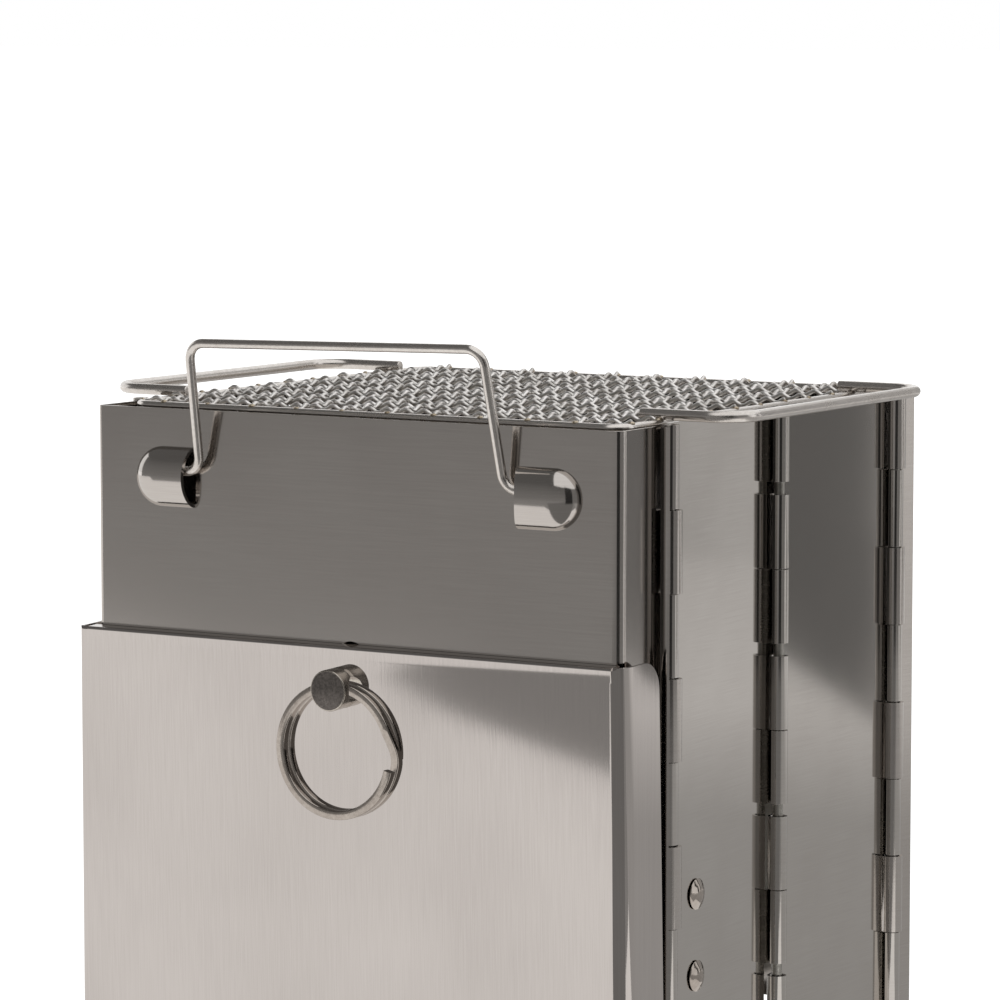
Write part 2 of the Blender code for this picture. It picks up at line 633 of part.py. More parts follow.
def door_catch(carrier, material):
    """Round catch riveted into the hem, whose dome stands in the shell's hole."""
    lip = DOOR_PIN_OUT - FIT + DOOR_LENGTH * math.sin(DOOR_LEAN)
    back = lip - DOOR_SHEET - FIT
    dome = lip + FIT
    shape = bmesh.new()
    profile = [(0.0, back - DOOR_SHEET), (CATCH_RADIUS, back - DOOR_SHEET), (CATCH_RADIUS, back),
               (CATCH_SHANK, back), (CATCH_SHANK, dome), (CATCH_RADIUS, dome),
               (CATCH_RADIUS * 0.9, dome + 0.5 * MM), (CATCH_RADIUS * 0.6, dome + 0.9 * MM),
               (0.0, dome + 1.1 * MM)]
    turned(shape, profile, (LATCH_X, 0.0, CATCH_UP), (0.0, 1.0, 0.0))
    add_piece("door_catch", shape, carrier, material)


def pull_stud(carrier, material):
    """Round stud with a groove and a cross hole, its shank peened over behind the door."""
    face = HINGE_OFFSET - FIT
    back = HINGE_OFFSET + DOOR_SHEET + FIT
    tip = HINGE_OFFSET - STUD_LENGTH
    groove = HINGE_OFFSET - STUD_HOLE_OUT
    shape = bmesh.new()
    profile = [(0.0, tip), (STUD_RADIUS - STUD_EDGE, tip), (STUD_RADIUS, tip + STUD_EDGE),
               (STUD_RADIUS, groove - STUD_GROOVE), (STUD_RADIUS - STUD_GROOVE, groove),
               (STUD_RADIUS, groove + STUD_GROOVE), (STUD_RADIUS, face), (STUD_SHANK, face),
               (STUD_SHANK, back), (1.7 * STUD_SHANK, back), (1.3 * STUD_SHANK, back + 0.8 * MM),
               (0.0, back + MM)]
    turned(shape, profile, (LATCH_X, 0.0, STUD_UP), (0.0, 1.0, 0.0), 20)
    stud = add_piece("pull_stud", shape, carrier, material)
    hole = bmesh.new()
    prism(hole, arc((groove, STUD_UP), STUD_HOLE, 0.0, math.tau, 14)[:-1],
          LATCH_X - 2.0 * STUD_RADIUS, LATCH_X + 2.0 * STUD_RADIUS, "X")
    combine(stud, hole, "DIFFERENCE", "cross_hole")


def split_ring(carrier, material, drop):
    """Two turns of flat wire; one short step carries the wire from the front turn to the back one."""
    inner = RING_OUTER - RING_WIRE_RADIAL
    pitch = RING_WIRE_AXIAL + RING_COIL_GAP
    steps_a_turn = 28
    step_from = math.radians(322.0)
    step_to = math.radians(357.0)
    last = math.radians(676.0)
    count = int(steps_a_turn * last / math.tau)
    rings = []
    for index in range(count + 1):
        angle = last * index / count
        share = min(max((angle - step_from) / (step_to - step_from), 0.0), 1.0)
        middle = pitch * (share - 0.5)
        around = angle + math.radians(4.0)
        ring = []
        for radius, along in ((inner, -0.5), (RING_OUTER, -0.5), (RING_OUTER, 0.5), (inner, 0.5)):
            ring.append((radius * math.cos(around), middle + along * RING_WIRE_AXIAL,
                         -drop - radius * math.sin(around)))
        rings.append(ring)
    shape = bmesh.new()
    loft(shape, rings)
    add_piece("split_ring", shape, carrier, material)


def grill_edge_route():
    """Centre line of the edge wire, which lies just inside the rim."""
    corners = [(GRILL_HALF_WIDTH, GRILL_FRONT, 0.0), (GRILL_HALF_WIDTH, GRILL_BACK, 0.0),
               (-GRILL_HALF_WIDTH, GRILL_BACK, 0.0), (-GRILL_HALF_WIDTH, GRILL_FRONT, 0.0)]
    return rounded_route(corners, GRILL_CORNER, 4, True)


def grill_net(carrier, material):
    """The net as one flat grid inside the edge wire."""
    half = GRILL_HALF_WIDTH - GRILL_WIRE - FIT
    low = GRILL_FRONT + GRILL_WIRE + FIT
    high = GRILL_BACK - GRILL_WIRE - FIT
    top = PANEL_RISE + GRILL_SINK

    def marks(start, end):
        pitch = (end - start - NET_BAR) / NET_GAPS
        spots = []
        for index in range(NET_GAPS + 1):
            spots += [start + index * pitch, start + index * pitch + NET_BAR]
        return spots

    columns = marks(-half, half)
    rows = marks(low, high)
    shape = bmesh.new()
    grid = [[shape.verts.new((x, y, top - NET_THICK)) for x in columns] for y in rows]
    for row, up in ((0, 1.0), (-1, -1.0)):
        for column, across in ((0, 1.0), (-1, -1.0)):
            grid[row][column].co += Vector((across * NET_CORNER, up * NET_CORNER, 0.0))
    faces = []
    for row in range(len(rows) - 1):
        for column in range(len(columns) - 1):
            if row % 2 and column % 2:
                continue
            faces.append(shape.faces.new((grid[row][column], grid[row][column + 1],
                                          grid[row + 1][column + 1], grid[row + 1][column])))
    extruded = bmesh.ops.extrude_face_region(shape, geom=faces)["geom"]
    moved = [item for item in extruded if isinstance(item, bmesh.types.BMVert)]
    bmesh.ops.translate(shape, verts=moved, vec=(0.0, 0.0, NET_THICK))
    bmesh.ops.dissolve_limit(shape, angle_limit=math.radians(1.0), verts=shape.verts, edges=shape.edges)
    add_piece("grill_net", shape, carrier, material)


def grill(carrier, wire_material, net_material):
    """Edge wire, net and the two handle wires laid over the edge wire."""
    edge = grill_edge_route()
    wire("grill_edge_wire", edge, GRILL_WIRE, carrier, wire_material, True)
    grill_net(carrier, net_material)
    level = PANEL_RISE + GRILL_SINK + FIT + GRILL_HANDLE_WIRE
    for side, name in ((1.0, "right"), (-1.0, "left")):
        corners = [(side * GRILL_HANDLE_END, GRILL_HANDLE_FRONT, level),
                   (side * GRILL_HANDLE_REACH, GRILL_HANDLE_FRONT, level),
                   (side * GRILL_HANDLE_REACH, GRILL_HANDLE_BACK, level),
                   (side * GRILL_HANDLE_END, GRILL_HANDLE_BACK, level)]
        handle = wire(f"{name}_grill_handle", rounded_route(corners, GRILL_HANDLE_CORNER),
                      GRILL_HANDLE_WIRE, carrier, wire_material, False, 3)
        saddle = bmesh.new()
        round_bar(saddle, (side * GRILL_HALF_WIDTH, 2.0 * GRILL_FRONT, 0.0),
                  (side * GRILL_HALF_WIDTH, GRILL_BACK - GRILL_FRONT, 0.0), GRILL_WIRE + FIT, 16)
        combine(handle, saddle, "DIFFERENCE", "saddles")


def rivet(name, place, axis, grip, carrier, material):
    """Low cone head outside, shank through the sheets, flat head inside. The place is the sheet's face."""
    profile = [(0.0, RIVET_CROWN), (0.35 * RIVET_HEAD, RIVET_CROWN), (RIVET_HEAD, FIT + 0.2 * MM),
               (RIVET_HEAD, FIT), (RIVET_SHANK, FIT), (RIVET_SHANK, -grip - FIT),
               (0.8 * RIVET_HEAD, -grip - FIT), (0.8 * RIVET_HEAD, -grip - FIT - 0.8 * MM),
               (0.0, -grip - FIT - 0.8 * MM)]
    shape = bmesh.new()
    turned(shape, profile, place, axis, 10)
    add_piece(name, shape, carrier, material)


def side_ledge(side, carrier, material, rivet_material):
    """Angle bracket inside a front panel, which can carry the grate, and its two rivets."""
    name = "right" if side > 0 else "left"
    inner = HINGE_OFFSET + PANEL_SHEET
    face = inner + FIT
    high = HEIGHT - LEDGE_DROP + LEDGE_MARGIN
    low = HEIGHT - LEDGE_DROP - RIVET_PITCH - LEDGE_MARGIN
    profile = [(-face, high), (-face, low), (-face - LEDGE_DEPTH, low)]
    outline = strip(profile, LEDGE_SHEET)
    if side < 0:
        outline = mirrored(outline)
    shape = bmesh.new()
    prism(shape, outline, RIVET_BACK - LEDGE_LENGTH / 2.0, RIVET_BACK + LEDGE_LENGTH / 2.0, "Y")
    ledge = add_piece(f"{name}_grate_ledge", shape, carrier, material)
    holes = bmesh.new()
    for level, which in enumerate(("upper", "lower")):
        height = HEIGHT - LEDGE_DROP - level * RIVET_PITCH
        hole = arc((RIVET_BACK, height), RIVET_SHANK + FIT, 0.0, math.tau, 12)[:-1]
        prism(holes, hole, -side * face / 2.0, -side * (face + 2.0 * LEDGE_SHEET), "X")
        rivet(f"{name}_{which}_rivet", (-side * HINGE_OFFSET, RIVET_BACK, height), (side, 0.0, 0.0),
              PANEL_SHEET + FIT + LEDGE_SHEET, carrier, rivet_material)
    combine(ledge, holes, "DIFFERENCE", "holes")


def rear_ledge(carrier, material, rivet_material):
    """Angle bracket across the back shell at the height of the side ledges."""
    face = REAR_FLANGE - SHELL_SHEET - FIT
    low = HEIGHT - LEDGE_DROP - RIVET_PITCH - LEDGE_MARGIN
    high = HEIGHT - LEDGE_DROP + LEDGE_MARGIN
    outline = strip([(face, high), (face, low), (face - REAR_LEDGE_DEPTH, low)], LEDGE_SHEET)
    shape = bmesh.new()
    prism(shape, outline, -REAR_LEDGE_HALF - PIN_X, REAR_LEDGE_HALF - PIN_X, "X")
    ledge = add_piece("rear_grate_ledge", shape, carrier, material)
    holes = bmesh.new()
    for side, which in ((1.0, "right"), (-1.0, "left")):
        x = side * REAR_RIVET_X - PIN_X
        hole = arc((x, HEIGHT - LEDGE_DROP), RIVET_SHANK + FIT, 0.0, math.tau, 12)[:-1]
        prism(holes, hole, face - 2.0 * LEDGE_SHEET, REAR_FLANGE, "Y")
        rivet(f"rear_{which}_rivet", (x, REAR_FLANGE, HEIGHT - LEDGE_DROP), (0.0, 1.0, 0.0),
              SHELL_SHEET + FIT + LEDGE_SHEET, carrier, rivet_material)
    combine(ledge, holes, "DIFFERENCE", "holes")


def ash_tray(carrier, material):
    """Folded tray on the ground between the shells, with a tab behind to draw it out by."""
    front = SHELL_SHEET + FIT
    back = DEPTH - TRAY_BACK
    shape = bmesh.new()
    prism(shape, rounded_box(-TRAY_HALF_WIDTH, TRAY_HALF_WIDTH, front, back, TRAY_CORNER),
          FIT, TRAY_HEIGHT)
    tray = add_piece("ash_tray", shape, carrier, material)
    tab = bmesh.new()
    prism(tab, rounded_box(-TRAY_TAB_HALF, TRAY_TAB_HALF, back - TRAY_WALL / 2.0, back + TRAY_TAB,
                           TRAY_TAB / 2.0), TRAY_HEIGHT - 2.0 * TRAY_WALL, TRAY_HEIGHT - TRAY_WALL)
    combine(tray, tab, "UNION", "tab")
    hollow = bmesh.new()
    prism(hollow, rounded_box(-TRAY_HALF_WIDTH + TRAY_WALL, TRAY_HALF_WIDTH - TRAY_WALL,
                              front + TRAY_WALL, back - TRAY_WALL, TRAY_CORNER - TRAY_WALL),
          FIT + TRAY_WALL, TRAY_HEIGHT + MM)
    combine(tray, hollow, "DIFFERENCE", "hollow")


def fire_grate(carrier, material):
    """Slotted plate lying on the tray's front and side walls."""
    front = SHELL_SHEET + FIT
    back = DEPTH - TRAY_BACK - GRATE_SHORT
    low = TRAY_HEIGHT + FIT
    shape = bmesh.new()
    prism(shape, rounded_box(-TRAY_HALF_WIDTH, TRAY_HALF_WIDTH, front, back, TRAY_CORNER),
          low, low + GRATE_SHEET)
    grate = add_piece("fire_grate", shape, carrier, material)
    slots = bmesh.new()
    row_pitch = (back - front - 2.0 * GRATE_MARGIN) / GRATE_ROWS
    slot_pitch = (2.0 * TRAY_HALF_WIDTH - 2.0 * GRATE_MARGIN) / (GRATE_SLOTS - 1)
    half_length = row_pitch / 2.0 - GRATE_SLOT
    for row in range(GRATE_ROWS):
        middle = front + GRATE_MARGIN + (row + 0.5) * row_pitch
        for column in range(GRATE_SLOTS):
            x = -TRAY_HALF_WIDTH + GRATE_MARGIN + column * slot_pitch
            prism(slots, rounded_box(x - GRATE_SLOT, x + GRATE_SLOT, middle - half_length,
                                     middle + half_length, 0.999 * GRATE_SLOT, 2),
                  low - GRATE_SHEET, low + 2.0 * GRATE_SHEET)
    combine(grate, slots, "DIFFERENCE", "slots")


def build():
    """Put the stove together, unfolded, with the carrying handle up and the door shut."""
    clear_scene()
    brushed = steel("brushed_sheet", (0.40, 0.39, 0.37), 0.32)
    panel_steel = steel("panel_sheet", (0.45, 0.44, 0.42), 0.30)
    door_steel = steel("door_sheet", (0.62, 0.61, 0.59), 0.30)
    pin_steel = steel("hinge_pin", (0.30, 0.30, 0.29), 0.35)
    bright = steel("bright_wire", (0.62, 0.60, 0.57), 0.22)
    net_steel = steel("net_wire", (0.50, 0.49, 0.47), 0.35)
    nickel = steel("nickel", (0.60, 0.57, 0.53), 0.18)
    zinc = steel("inner_sheet", (0.48, 0.48, 0.47), 0.40)

    stove = pivot("stove", (0.0, STOVE_Y, 0.0))
    front_shell(stove, brushed)
    hinge_pin("right_front_pin", stove, (PIN_X, FRONT_PIN_Y), pin_steel)
    hinge_pin("left_front_pin", stove, (-PIN_X, FRONT_PIN_Y), pin_steel)

    rear_parent = None
    for side, name in ((1.0, "right"), (-1.0, "left")):
        front_pivot = pivot(f"{name}_front_pivot", (side * PIN_X, FRONT_PIN_Y, 0.0), stove,
                            (0.0, 0.0, side * PANEL_TILT))
        rear_pivot = pivot(f"{name}_rear_pivot", (0.0, PANEL_SPAN, 0.0), front_pivot,
                           (0.0, 0.0, -2.0 * side * PANEL_TILT))
        side_panels(side, front_pivot, rear_pivot, panel_steel)
        hinge_pin(f"{name}_middle_pin", front_pivot, (0.0, PANEL_SPAN), pin_steel)
        side_ledge(side, front_pivot, zinc, nickel)
        if side > 0:
            rear_parent = rear_pivot

    back_pivot = pivot("back_pivot", (0.0, PANEL_SPAN, 0.0), rear_parent, (0.0, 0.0, PANEL_TILT))
    back_shell(back_pivot, brushed)
    hinge_pin("right_rear_pin", back_pivot, (0.0, 0.0), pin_steel)
    hinge_pin("left_rear_pin", back_pivot, (-2.0 * PIN_X, 0.0), pin_steel)
    rear_ledge(back_pivot, zinc, nickel)

    handle_pivot = pivot("handle_pivot", (0.0, -HANDLE_PIVOT_OUT, HEIGHT - HANDLE_PIVOT_DROP), stove)
    carry_handle(handle_pivot, bright)

    door_pivot = pivot("door_pivot", (0.0, -DOOR_PIN_OUT, DOOR_PIN_HEIGHT), stove,
                       (DOOR_LEAN, 0.0, 0.0))
    feed_door(door_pivot, door_steel)
    door_hinge(stove, door_pivot, door_steel, pin_steel)
    door_catch(door_pivot, nickel)
    pull_stud(door_pivot, nickel)
    ring_pivot = pivot("ring_pivot", (LATCH_X, HINGE_OFFSET - STUD_HOLE_OUT, STUD_UP), door_pivot,
                       (-DOOR_LEAN, 0.0, 0.0))
    inner = RING_OUTER - RING_WIRE_RADIAL
    half_axial = RING_WIRE_AXIAL + RING_COIL_GAP / 2.0
    seat = math.sqrt(STUD_HOLE ** 2 - half_axial ** 2) - FIT / 2.0
    bow = inner - math.sqrt(inner ** 2 - STUD_RADIUS ** 2)
    split_ring(ring_pivot, nickel, inner + seat - bow)

    grill_pivot = pivot("grill_pivot", (0.0, 0.0, GRILL_Z), stove)
    grill(grill_pivot, bright, net_steel)

    tray_pivot = pivot("tray_pivot", (0.0, 0.0, 0.0), stove)
    ash_tray(tray_pivot, zinc)
    fire_grate(tray_pivot, zinc)


build()
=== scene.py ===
"""Looks of a folding camp stove in stainless sheet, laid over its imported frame."""

import json
import logging
import math
from dataclasses import dataclass, field
from enum import Enum
from typing import Any, Sequence

import bmesh
import bpy
from mathutils import Matrix, Vector

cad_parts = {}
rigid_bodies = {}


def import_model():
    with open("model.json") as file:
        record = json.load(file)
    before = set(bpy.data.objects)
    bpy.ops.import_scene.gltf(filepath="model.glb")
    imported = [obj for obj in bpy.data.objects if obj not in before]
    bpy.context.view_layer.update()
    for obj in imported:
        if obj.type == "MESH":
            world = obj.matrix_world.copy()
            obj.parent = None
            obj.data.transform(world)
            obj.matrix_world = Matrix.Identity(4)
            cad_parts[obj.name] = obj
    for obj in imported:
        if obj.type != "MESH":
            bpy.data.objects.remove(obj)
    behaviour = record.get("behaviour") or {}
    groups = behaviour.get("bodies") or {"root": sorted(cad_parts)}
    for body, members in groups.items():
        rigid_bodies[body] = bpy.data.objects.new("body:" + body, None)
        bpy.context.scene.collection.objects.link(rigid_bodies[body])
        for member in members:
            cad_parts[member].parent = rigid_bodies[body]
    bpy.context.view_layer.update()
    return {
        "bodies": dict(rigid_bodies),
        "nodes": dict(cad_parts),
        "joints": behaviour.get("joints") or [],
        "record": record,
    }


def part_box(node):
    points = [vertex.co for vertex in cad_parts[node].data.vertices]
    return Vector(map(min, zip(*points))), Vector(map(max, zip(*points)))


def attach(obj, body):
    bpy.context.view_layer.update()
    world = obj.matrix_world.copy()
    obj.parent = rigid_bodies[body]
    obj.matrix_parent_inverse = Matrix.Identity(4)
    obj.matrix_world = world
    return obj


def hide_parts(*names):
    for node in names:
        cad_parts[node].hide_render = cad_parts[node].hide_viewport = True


log = logging.getLogger("camp_stove")

MM = 0.001
ROLL_SWEEP = math.radians(290.0)
ROLL_STEPS = 30
Point = tuple[float, float]
Place = tuple[float, float, float]


def linear(hex_colour: str) -> tuple[float, float, float, float]:
    """Turn an sRGB hex colour to linear light.

    Args:
        hex_colour: The colour as "#RRGGBB".

    Returns:
        Linear red, green and blue, and an alpha of 1.
    """
    values = []
    for index in (1, 3, 5):
        value = int(hex_colour[index:index + 2], 16) / 255.0
        values.append(value / 12.92 if value <= 0.04045 else ((value + 0.055) / 1.055) ** 2.4)
    return (values[0], values[1], values[2], 1.0)


def add_node(tree: bpy.types.NodeTree, kind: str, inputs: dict[Any, Any] | None = None,
             **settings: Any) -> bpy.types.Node:
    """Add a node with its settings, and set or link its inputs.

    Args:
        tree: The tree that gets the node.
        kind: The node's type name.
        inputs: Socket name or index to a value, or to the output socket that is linked to it.
        settings: The node's own properties.

    Returns:
        The node.
    """
    node = tree.nodes.new(kind)
    for name, value in settings.items():
        setattr(node, name, value)
    for socket, value in (inputs or {}).items():
        if isinstance(value, bpy.types.NodeSocket):
            tree.links.new(value, node.inputs[socket])
        else:
            node.inputs[socket].default_value = value
    return node


class Grain(Enum):
    """Which way the lines of a brushed or rolled sheet run."""

    ACROSS = "across"
    UPRIGHT = "upright"


def metal(name: str) -> tuple[bpy.types.Material, bpy.types.NodeSocket]:
    """Start the material of a bare metal.

    Args:
        name: Name of the material.

    Returns:
        The material, and the output with the piece's own coordinates.
    """
    material = bpy.data.materials.new(name)
    material.use_nodes = True
    material.node_tree.nodes["Principled BSDF"].inputs["Metallic"].default_value = 1.0
    return material, add_node(material.node_tree, "ShaderNodeTexCoord").outputs["Object"]


def patterned(material: bpy.types.Material, pattern: bpy.types.NodeSocket, span: float,
              shades: tuple[str, str], rough: tuple[float, float],
              normal: bpy.types.NodeSocket) -> bpy.types.Material:
    """Let a pattern move a metal between two shades and two roughnesses.

    Args:
        material: The metal.
        pattern: Output of the pattern, which is 1 on average.
        span: How far on either side of 1 the shades are reached.
        shades: The dull and the bright colour.
        rough: The roughness of the dull and of the bright places.
        normal: Output of the bumps.

    Returns:
        The material.
    """
    tree = material.node_tree
    share = add_node(tree, "ShaderNodeMapRange", {"Value": pattern, "From Min": 1.0 - span,
                                                  "From Max": 1.0 + span})
    colour = add_node(tree, "ShaderNodeMix", {0: share.outputs[0], 6: linear(shades[0]),
                                              7: linear(shades[1])}, data_type="RGBA")
    level = add_node(tree, "ShaderNodeMapRange", {"Value": pattern, "From Min": 0.6, "From Max": 1.4,
                                                  "To Min": rough[0], "To Max": rough[1]})
    shader = tree.nodes["Principled BSDF"]
    for socket, output in (("Base Color", colour.outputs[2]), ("Roughness", level.outputs[0]),
                           ("Normal", normal)):
        tree.links.new(output, shader.inputs[socket])
    return material


@dataclass(frozen=True)
class SheetFinish:
    """Stainless sheet (1.4301), cold rolled and brushed: a clear but softened mirror with fine lines."""

    name: str
    bright: str
    dull: str
    roughness: float
    grain: Grain
    line_mm: float = 0.3
    line_length_mm: float = 18.0
    line_depth: float = 0.10
    wave_mm: float = 55.0
    wave_depth: float = 0.25
    patch_mm: float = 24.0
    anisotropy: float = 0.0

    def make(self) -> bpy.types.Material:
        """Build the finish as a material.

        Returns:
            The material.
        """
        material, place = metal(self.name)
        tree = material.node_tree
        fine = 1.0 / (self.line_mm * MM)
        long = 1.0 / (self.line_length_mm * MM)
        scale = (long, long, fine) if self.grain is Grain.ACROSS else (fine, fine, long)
        stretched = add_node(tree, "ShaderNodeMapping", {"Vector": place, "Scale": scale})
        lines = add_node(tree, "ShaderNodeTexNoise", {"Vector": stretched.outputs[0], "Scale": 1.0,
                                                      "Detail": 3.0, "Roughness": 0.6})
        patches = add_node(tree, "ShaderNodeTexNoise", {"Vector": place, "Scale": 1.0 / (self.patch_mm * MM),
                                                        "Detail": 2.0, "Roughness": 0.5})
        waves = add_node(tree, "ShaderNodeTexNoise", {"Vector": place, "Scale": 1.0 / (self.wave_mm * MM),
                                                      "Detail": 0.0})
        mix = add_node(tree, "ShaderNodeMath", {0: lines.outputs[0], 1: patches.outputs[0]}, operation="ADD")
        coarse = add_node(tree, "ShaderNodeBump", {"Height": waves.outputs[0], "Strength": 1.0,
                                                   "Distance": self.wave_depth * MM})
        bump = add_node(tree, "ShaderNodeBump", {"Height": lines.outputs[0], "Strength": self.line_depth,
                                                 "Distance": 0.01 * MM, "Normal": coarse.outputs[0]})
        tree.nodes["Principled BSDF"].inputs["Anisotropic"].default_value = self.anisotropy
        return patterned(material, mix.outputs[0], 0.3, (self.dull, self.bright),
                         (self.roughness * 1.25, self.roughness * 0.8), bump.outputs[0])


@dataclass(frozen=True)
class WireFinish:
    """Drawn or plated round stock: smooth and bright, with faint draw marks and a duller film in places."""

    name: str
    bright: str
    dull: str
    roughness: float
    mark_mm: float = 0.8
    depth: float = 0.1
    film_mm: float = 9.0

    def make(self) -> bpy.types.Material:
        """Build the finish as a material.

        Returns:
            The material.
        """
        material, place = metal(self.name)
        tree = material.node_tree
        marks = add_node(tree, "ShaderNodeTexNoise", {"Vector": place, "Scale": 1.0 / (self.mark_mm * MM),
                                                      "Detail": 3.0, "Roughness": 0.65})
        film = add_node(tree, "ShaderNodeTexNoise", {"Vector": place, "Scale": 1.0 / (self.film_mm * MM),
                                                     "Detail": 2.0})
        mix = add_node(tree, "ShaderNodeMath", {0: marks.outputs[0], 1: film.outputs[0]}, operation="ADD")
        bump = add_node(tree, "ShaderNodeBump", {"Height": marks.outputs[0], "Strength": self.depth,
                                                 "Distance": 0.02 * MM})
        return patterned(material, mix.outputs[0], 0.25, (self.dull, self.bright),
                         (self.roughness * 1.4, self.roughness * 0.7), bump.outputs[0])


class Finishes:
    """All materials of the stove, made once.

    Real brush lines are a few hundredths of a millimetre wide, too fine to show, so they are drawn about
    ten times as wide.
    """

    def __init__(self) -> None:
        """Make every finish."""
        # Brushed across and worn: a mirror whose borders are soft
        self.shell = SheetFinish("brushed_shell_sheet", "#C8C3BE", "#BEB8B3", 0.11, Grain.ACROSS,
                                 line_mm=0.25, line_depth=0.08, wave_depth=0.2, patch_mm=30.0).make()
        # As rolled, hardly brushed: a clearer mirror
        self.panel = SheetFinish("rolled_panel_sheet", "#C6C2BD", "#BEB9B4", 0.07, Grain.ACROSS,
                                 line_mm=0.25, line_depth=0.06, wave_depth=0.12).make()
        # Brushed upright: a clear mirror whose borders fray along the lines
        self.door = SheetFinish("brushed_door_sheet", "#C9C3BF", "#C0BAB6", 0.06, Grain.UPRIGHT,
                                line_mm=0.35, line_length_mm=40.0, line_depth=0.18, wave_depth=0.1,
                                patch_mm=40.0).make()
        # Pickled sheet inside: dull and even
        self.inner = SheetFinish("plain_inner_sheet", "#B8B6B1", "#A09D97", 0.34, Grain.UPRIGHT,
                                 anisotropy=0.2).make()
        # Drawn steel wire: bright, with faint marks, and palest in the net
        self.pin = WireFinish("drawn_hinge_wire", "#B4B1AB", "#8E8B85", 0.28).make()
        self.wire = WireFinish("polished_handle_wire", "#DFDAD5", "#CFC9C3", 0.22).make()
        self.net = WireFinish("woven_net_wire", "#F0EDEA", "#CCC8C3", 0.32).make()
        # Nickel plate: a warm, darker mirror, dull where the stud was turned or cut off; the cut end's dark
        # colour is painted shade
        self.nickel = WireFinish("nickel_plate", "#BBB3AB", "#A39A92", 0.10).make()
        # The stud's cut face: rough, and painted darker than bare steel as shade
        self.stud_face = WireFinish("cut_stud_face_painted_shade", "#77716D", "#524E4B", 0.32, mark_mm=0.5,
                                    depth=0.5).make()
        self.stud = WireFinish("turned_nickel_plate", "#C8C1B8", "#A79F95", 0.22, 0.35, 0.5).make()
        # Weld metal, tinted straw by its heat
        self.weld = WireFinish("spot_weld", "#C9BDA9", "#94846E", 0.30, 0.4, 0.4).make()


def arc(centre: Point, radius: float, start: float, end: float, steps: int) -> list[Point]:
    """Points along an arc in a plane, both ends included.

    Args:
        centre: Middle of the arc.
        radius: Its radius.
        start: First angle, in radians.
        end: Last angle.
        steps: Number of stretches.

    Returns:
        The points in order.
    """
    angles = [start + (end - start) * step / steps for step in range(steps + 1)]
    return [(centre[0] + radius * math.cos(angle), centre[1] + radius * math.sin(angle)) for angle in angles]


def strip(path: Sequence[Point], thickness: float) -> list[Point]:
    """Closed outline of a bent sheet, with one face on the path and the other to its right.

    Args:
        path: Points of the first face.
        thickness: The sheet's thickness.

    Returns:
        The outline's points.
    """
    points = [Vector(point) for point in path]
    normals = []
    for first, second in zip(points, points[1:]):
        along = (second - first).normalized()
        normals.append(Vector((along.y, -along.x)))
    offset = []
    for index, point in enumerate(points):
        before = normals[max(index - 1, 0)]
        after = normals[min(index, len(normals) - 1)]
        offset.append(point + (before + after) * (thickness / (1.0 + before.dot(after))))
    return [(point.x, point.y) for point in points + offset[::-1]]


def mirrored(points: Sequence[Point]) -> list[Point]:
    """The same outline on the other side of the middle plane."""
    return [(-x, y) for x, y in points]


def rounded_box(x_low: float, x_high: float, y_low: float, y_high: float, radius: float,
                steps: int = 8) -> list[Point]:
    """Outline of a rectangle with round corners.

    Args:
        x_low: Low side.
        x_high: High side.
        y_low: Low end.
        y_high: High end.
        radius: Corner radius.
        steps: Stretches in a corner.

    Returns:
        The outline's points.
    """
    quarter = math.pi / 2.0
    corners = ((x_high - radius, y_high - radius), (x_low + radius, y_high - radius),
               (x_low + radius, y_low + radius), (x_high - radius, y_low + radius))
    outline: list[Point] = []
    for index, corner in enumerate(corners):
        outline += arc(corner, radius, index * quarter, (index + 1) * quarter, steps)
    return outline


def prism(shape: bmesh.types.BMesh, outline: Sequence[Point], low: float, high: float,
          axis: str = "Z") -> None:
    """Extrude a closed outline between two levels of an axis.

    Args:
        shape: The mesh that gets it.
        outline: Points in (x, y) for axis Z, (y, z) for axis X and (x, z) for axis Y.
        low: First level.
        high: Last level.
        axis: The axis of the extrusion.
    """
    def point(first: float, second: float, level: float) -> Place:
        """Put an outline's point at a level of the axis."""
        return {"Z": (first, second, level), "X": (level, first, second), "Y": (first, level, second)}[axis]

    rows = [[shape.verts.new(point(*spot, level)) for spot in outline] for level in (low, high)]
    shape.faces.new(rows[0])
    shape.faces.new(rows[1][::-1])
    for index in range(len(outline)):
        after = (index + 1) % len(outline)
        shape.faces.new((rows[0][index], rows[1][index], rows[1][after], rows[0][after]))


def block(shape: bmesh.types.BMesh, low: Place, high: Place) -> None:
    """Add a box between two opposite corners."""
    prism(shape, [(low[0], low[1]), (high[0], low[1]), (high[0], high[1]), (low[0], high[1])],
          low[2], high[2])


def loft(shape: bmesh.types.BMesh, rings: Sequence[Sequence[Place]]) -> None:
    """Skin equal rings of points and cap both ends.

    Args:
        shape: The mesh that gets it.
        rings: The rings, in order.
    """
    rows = [[shape.verts.new(point) for point in ring] for ring in rings]
    shape.faces.new(rows[0][::-1])
    shape.faces.new(rows[-1])
    for first, second in zip(rows, rows[1:]):
        for index in range(len(first)):
            after = (index + 1) % len(first)
            shape.faces.new((first[index], first[after], second[after], second[index]))


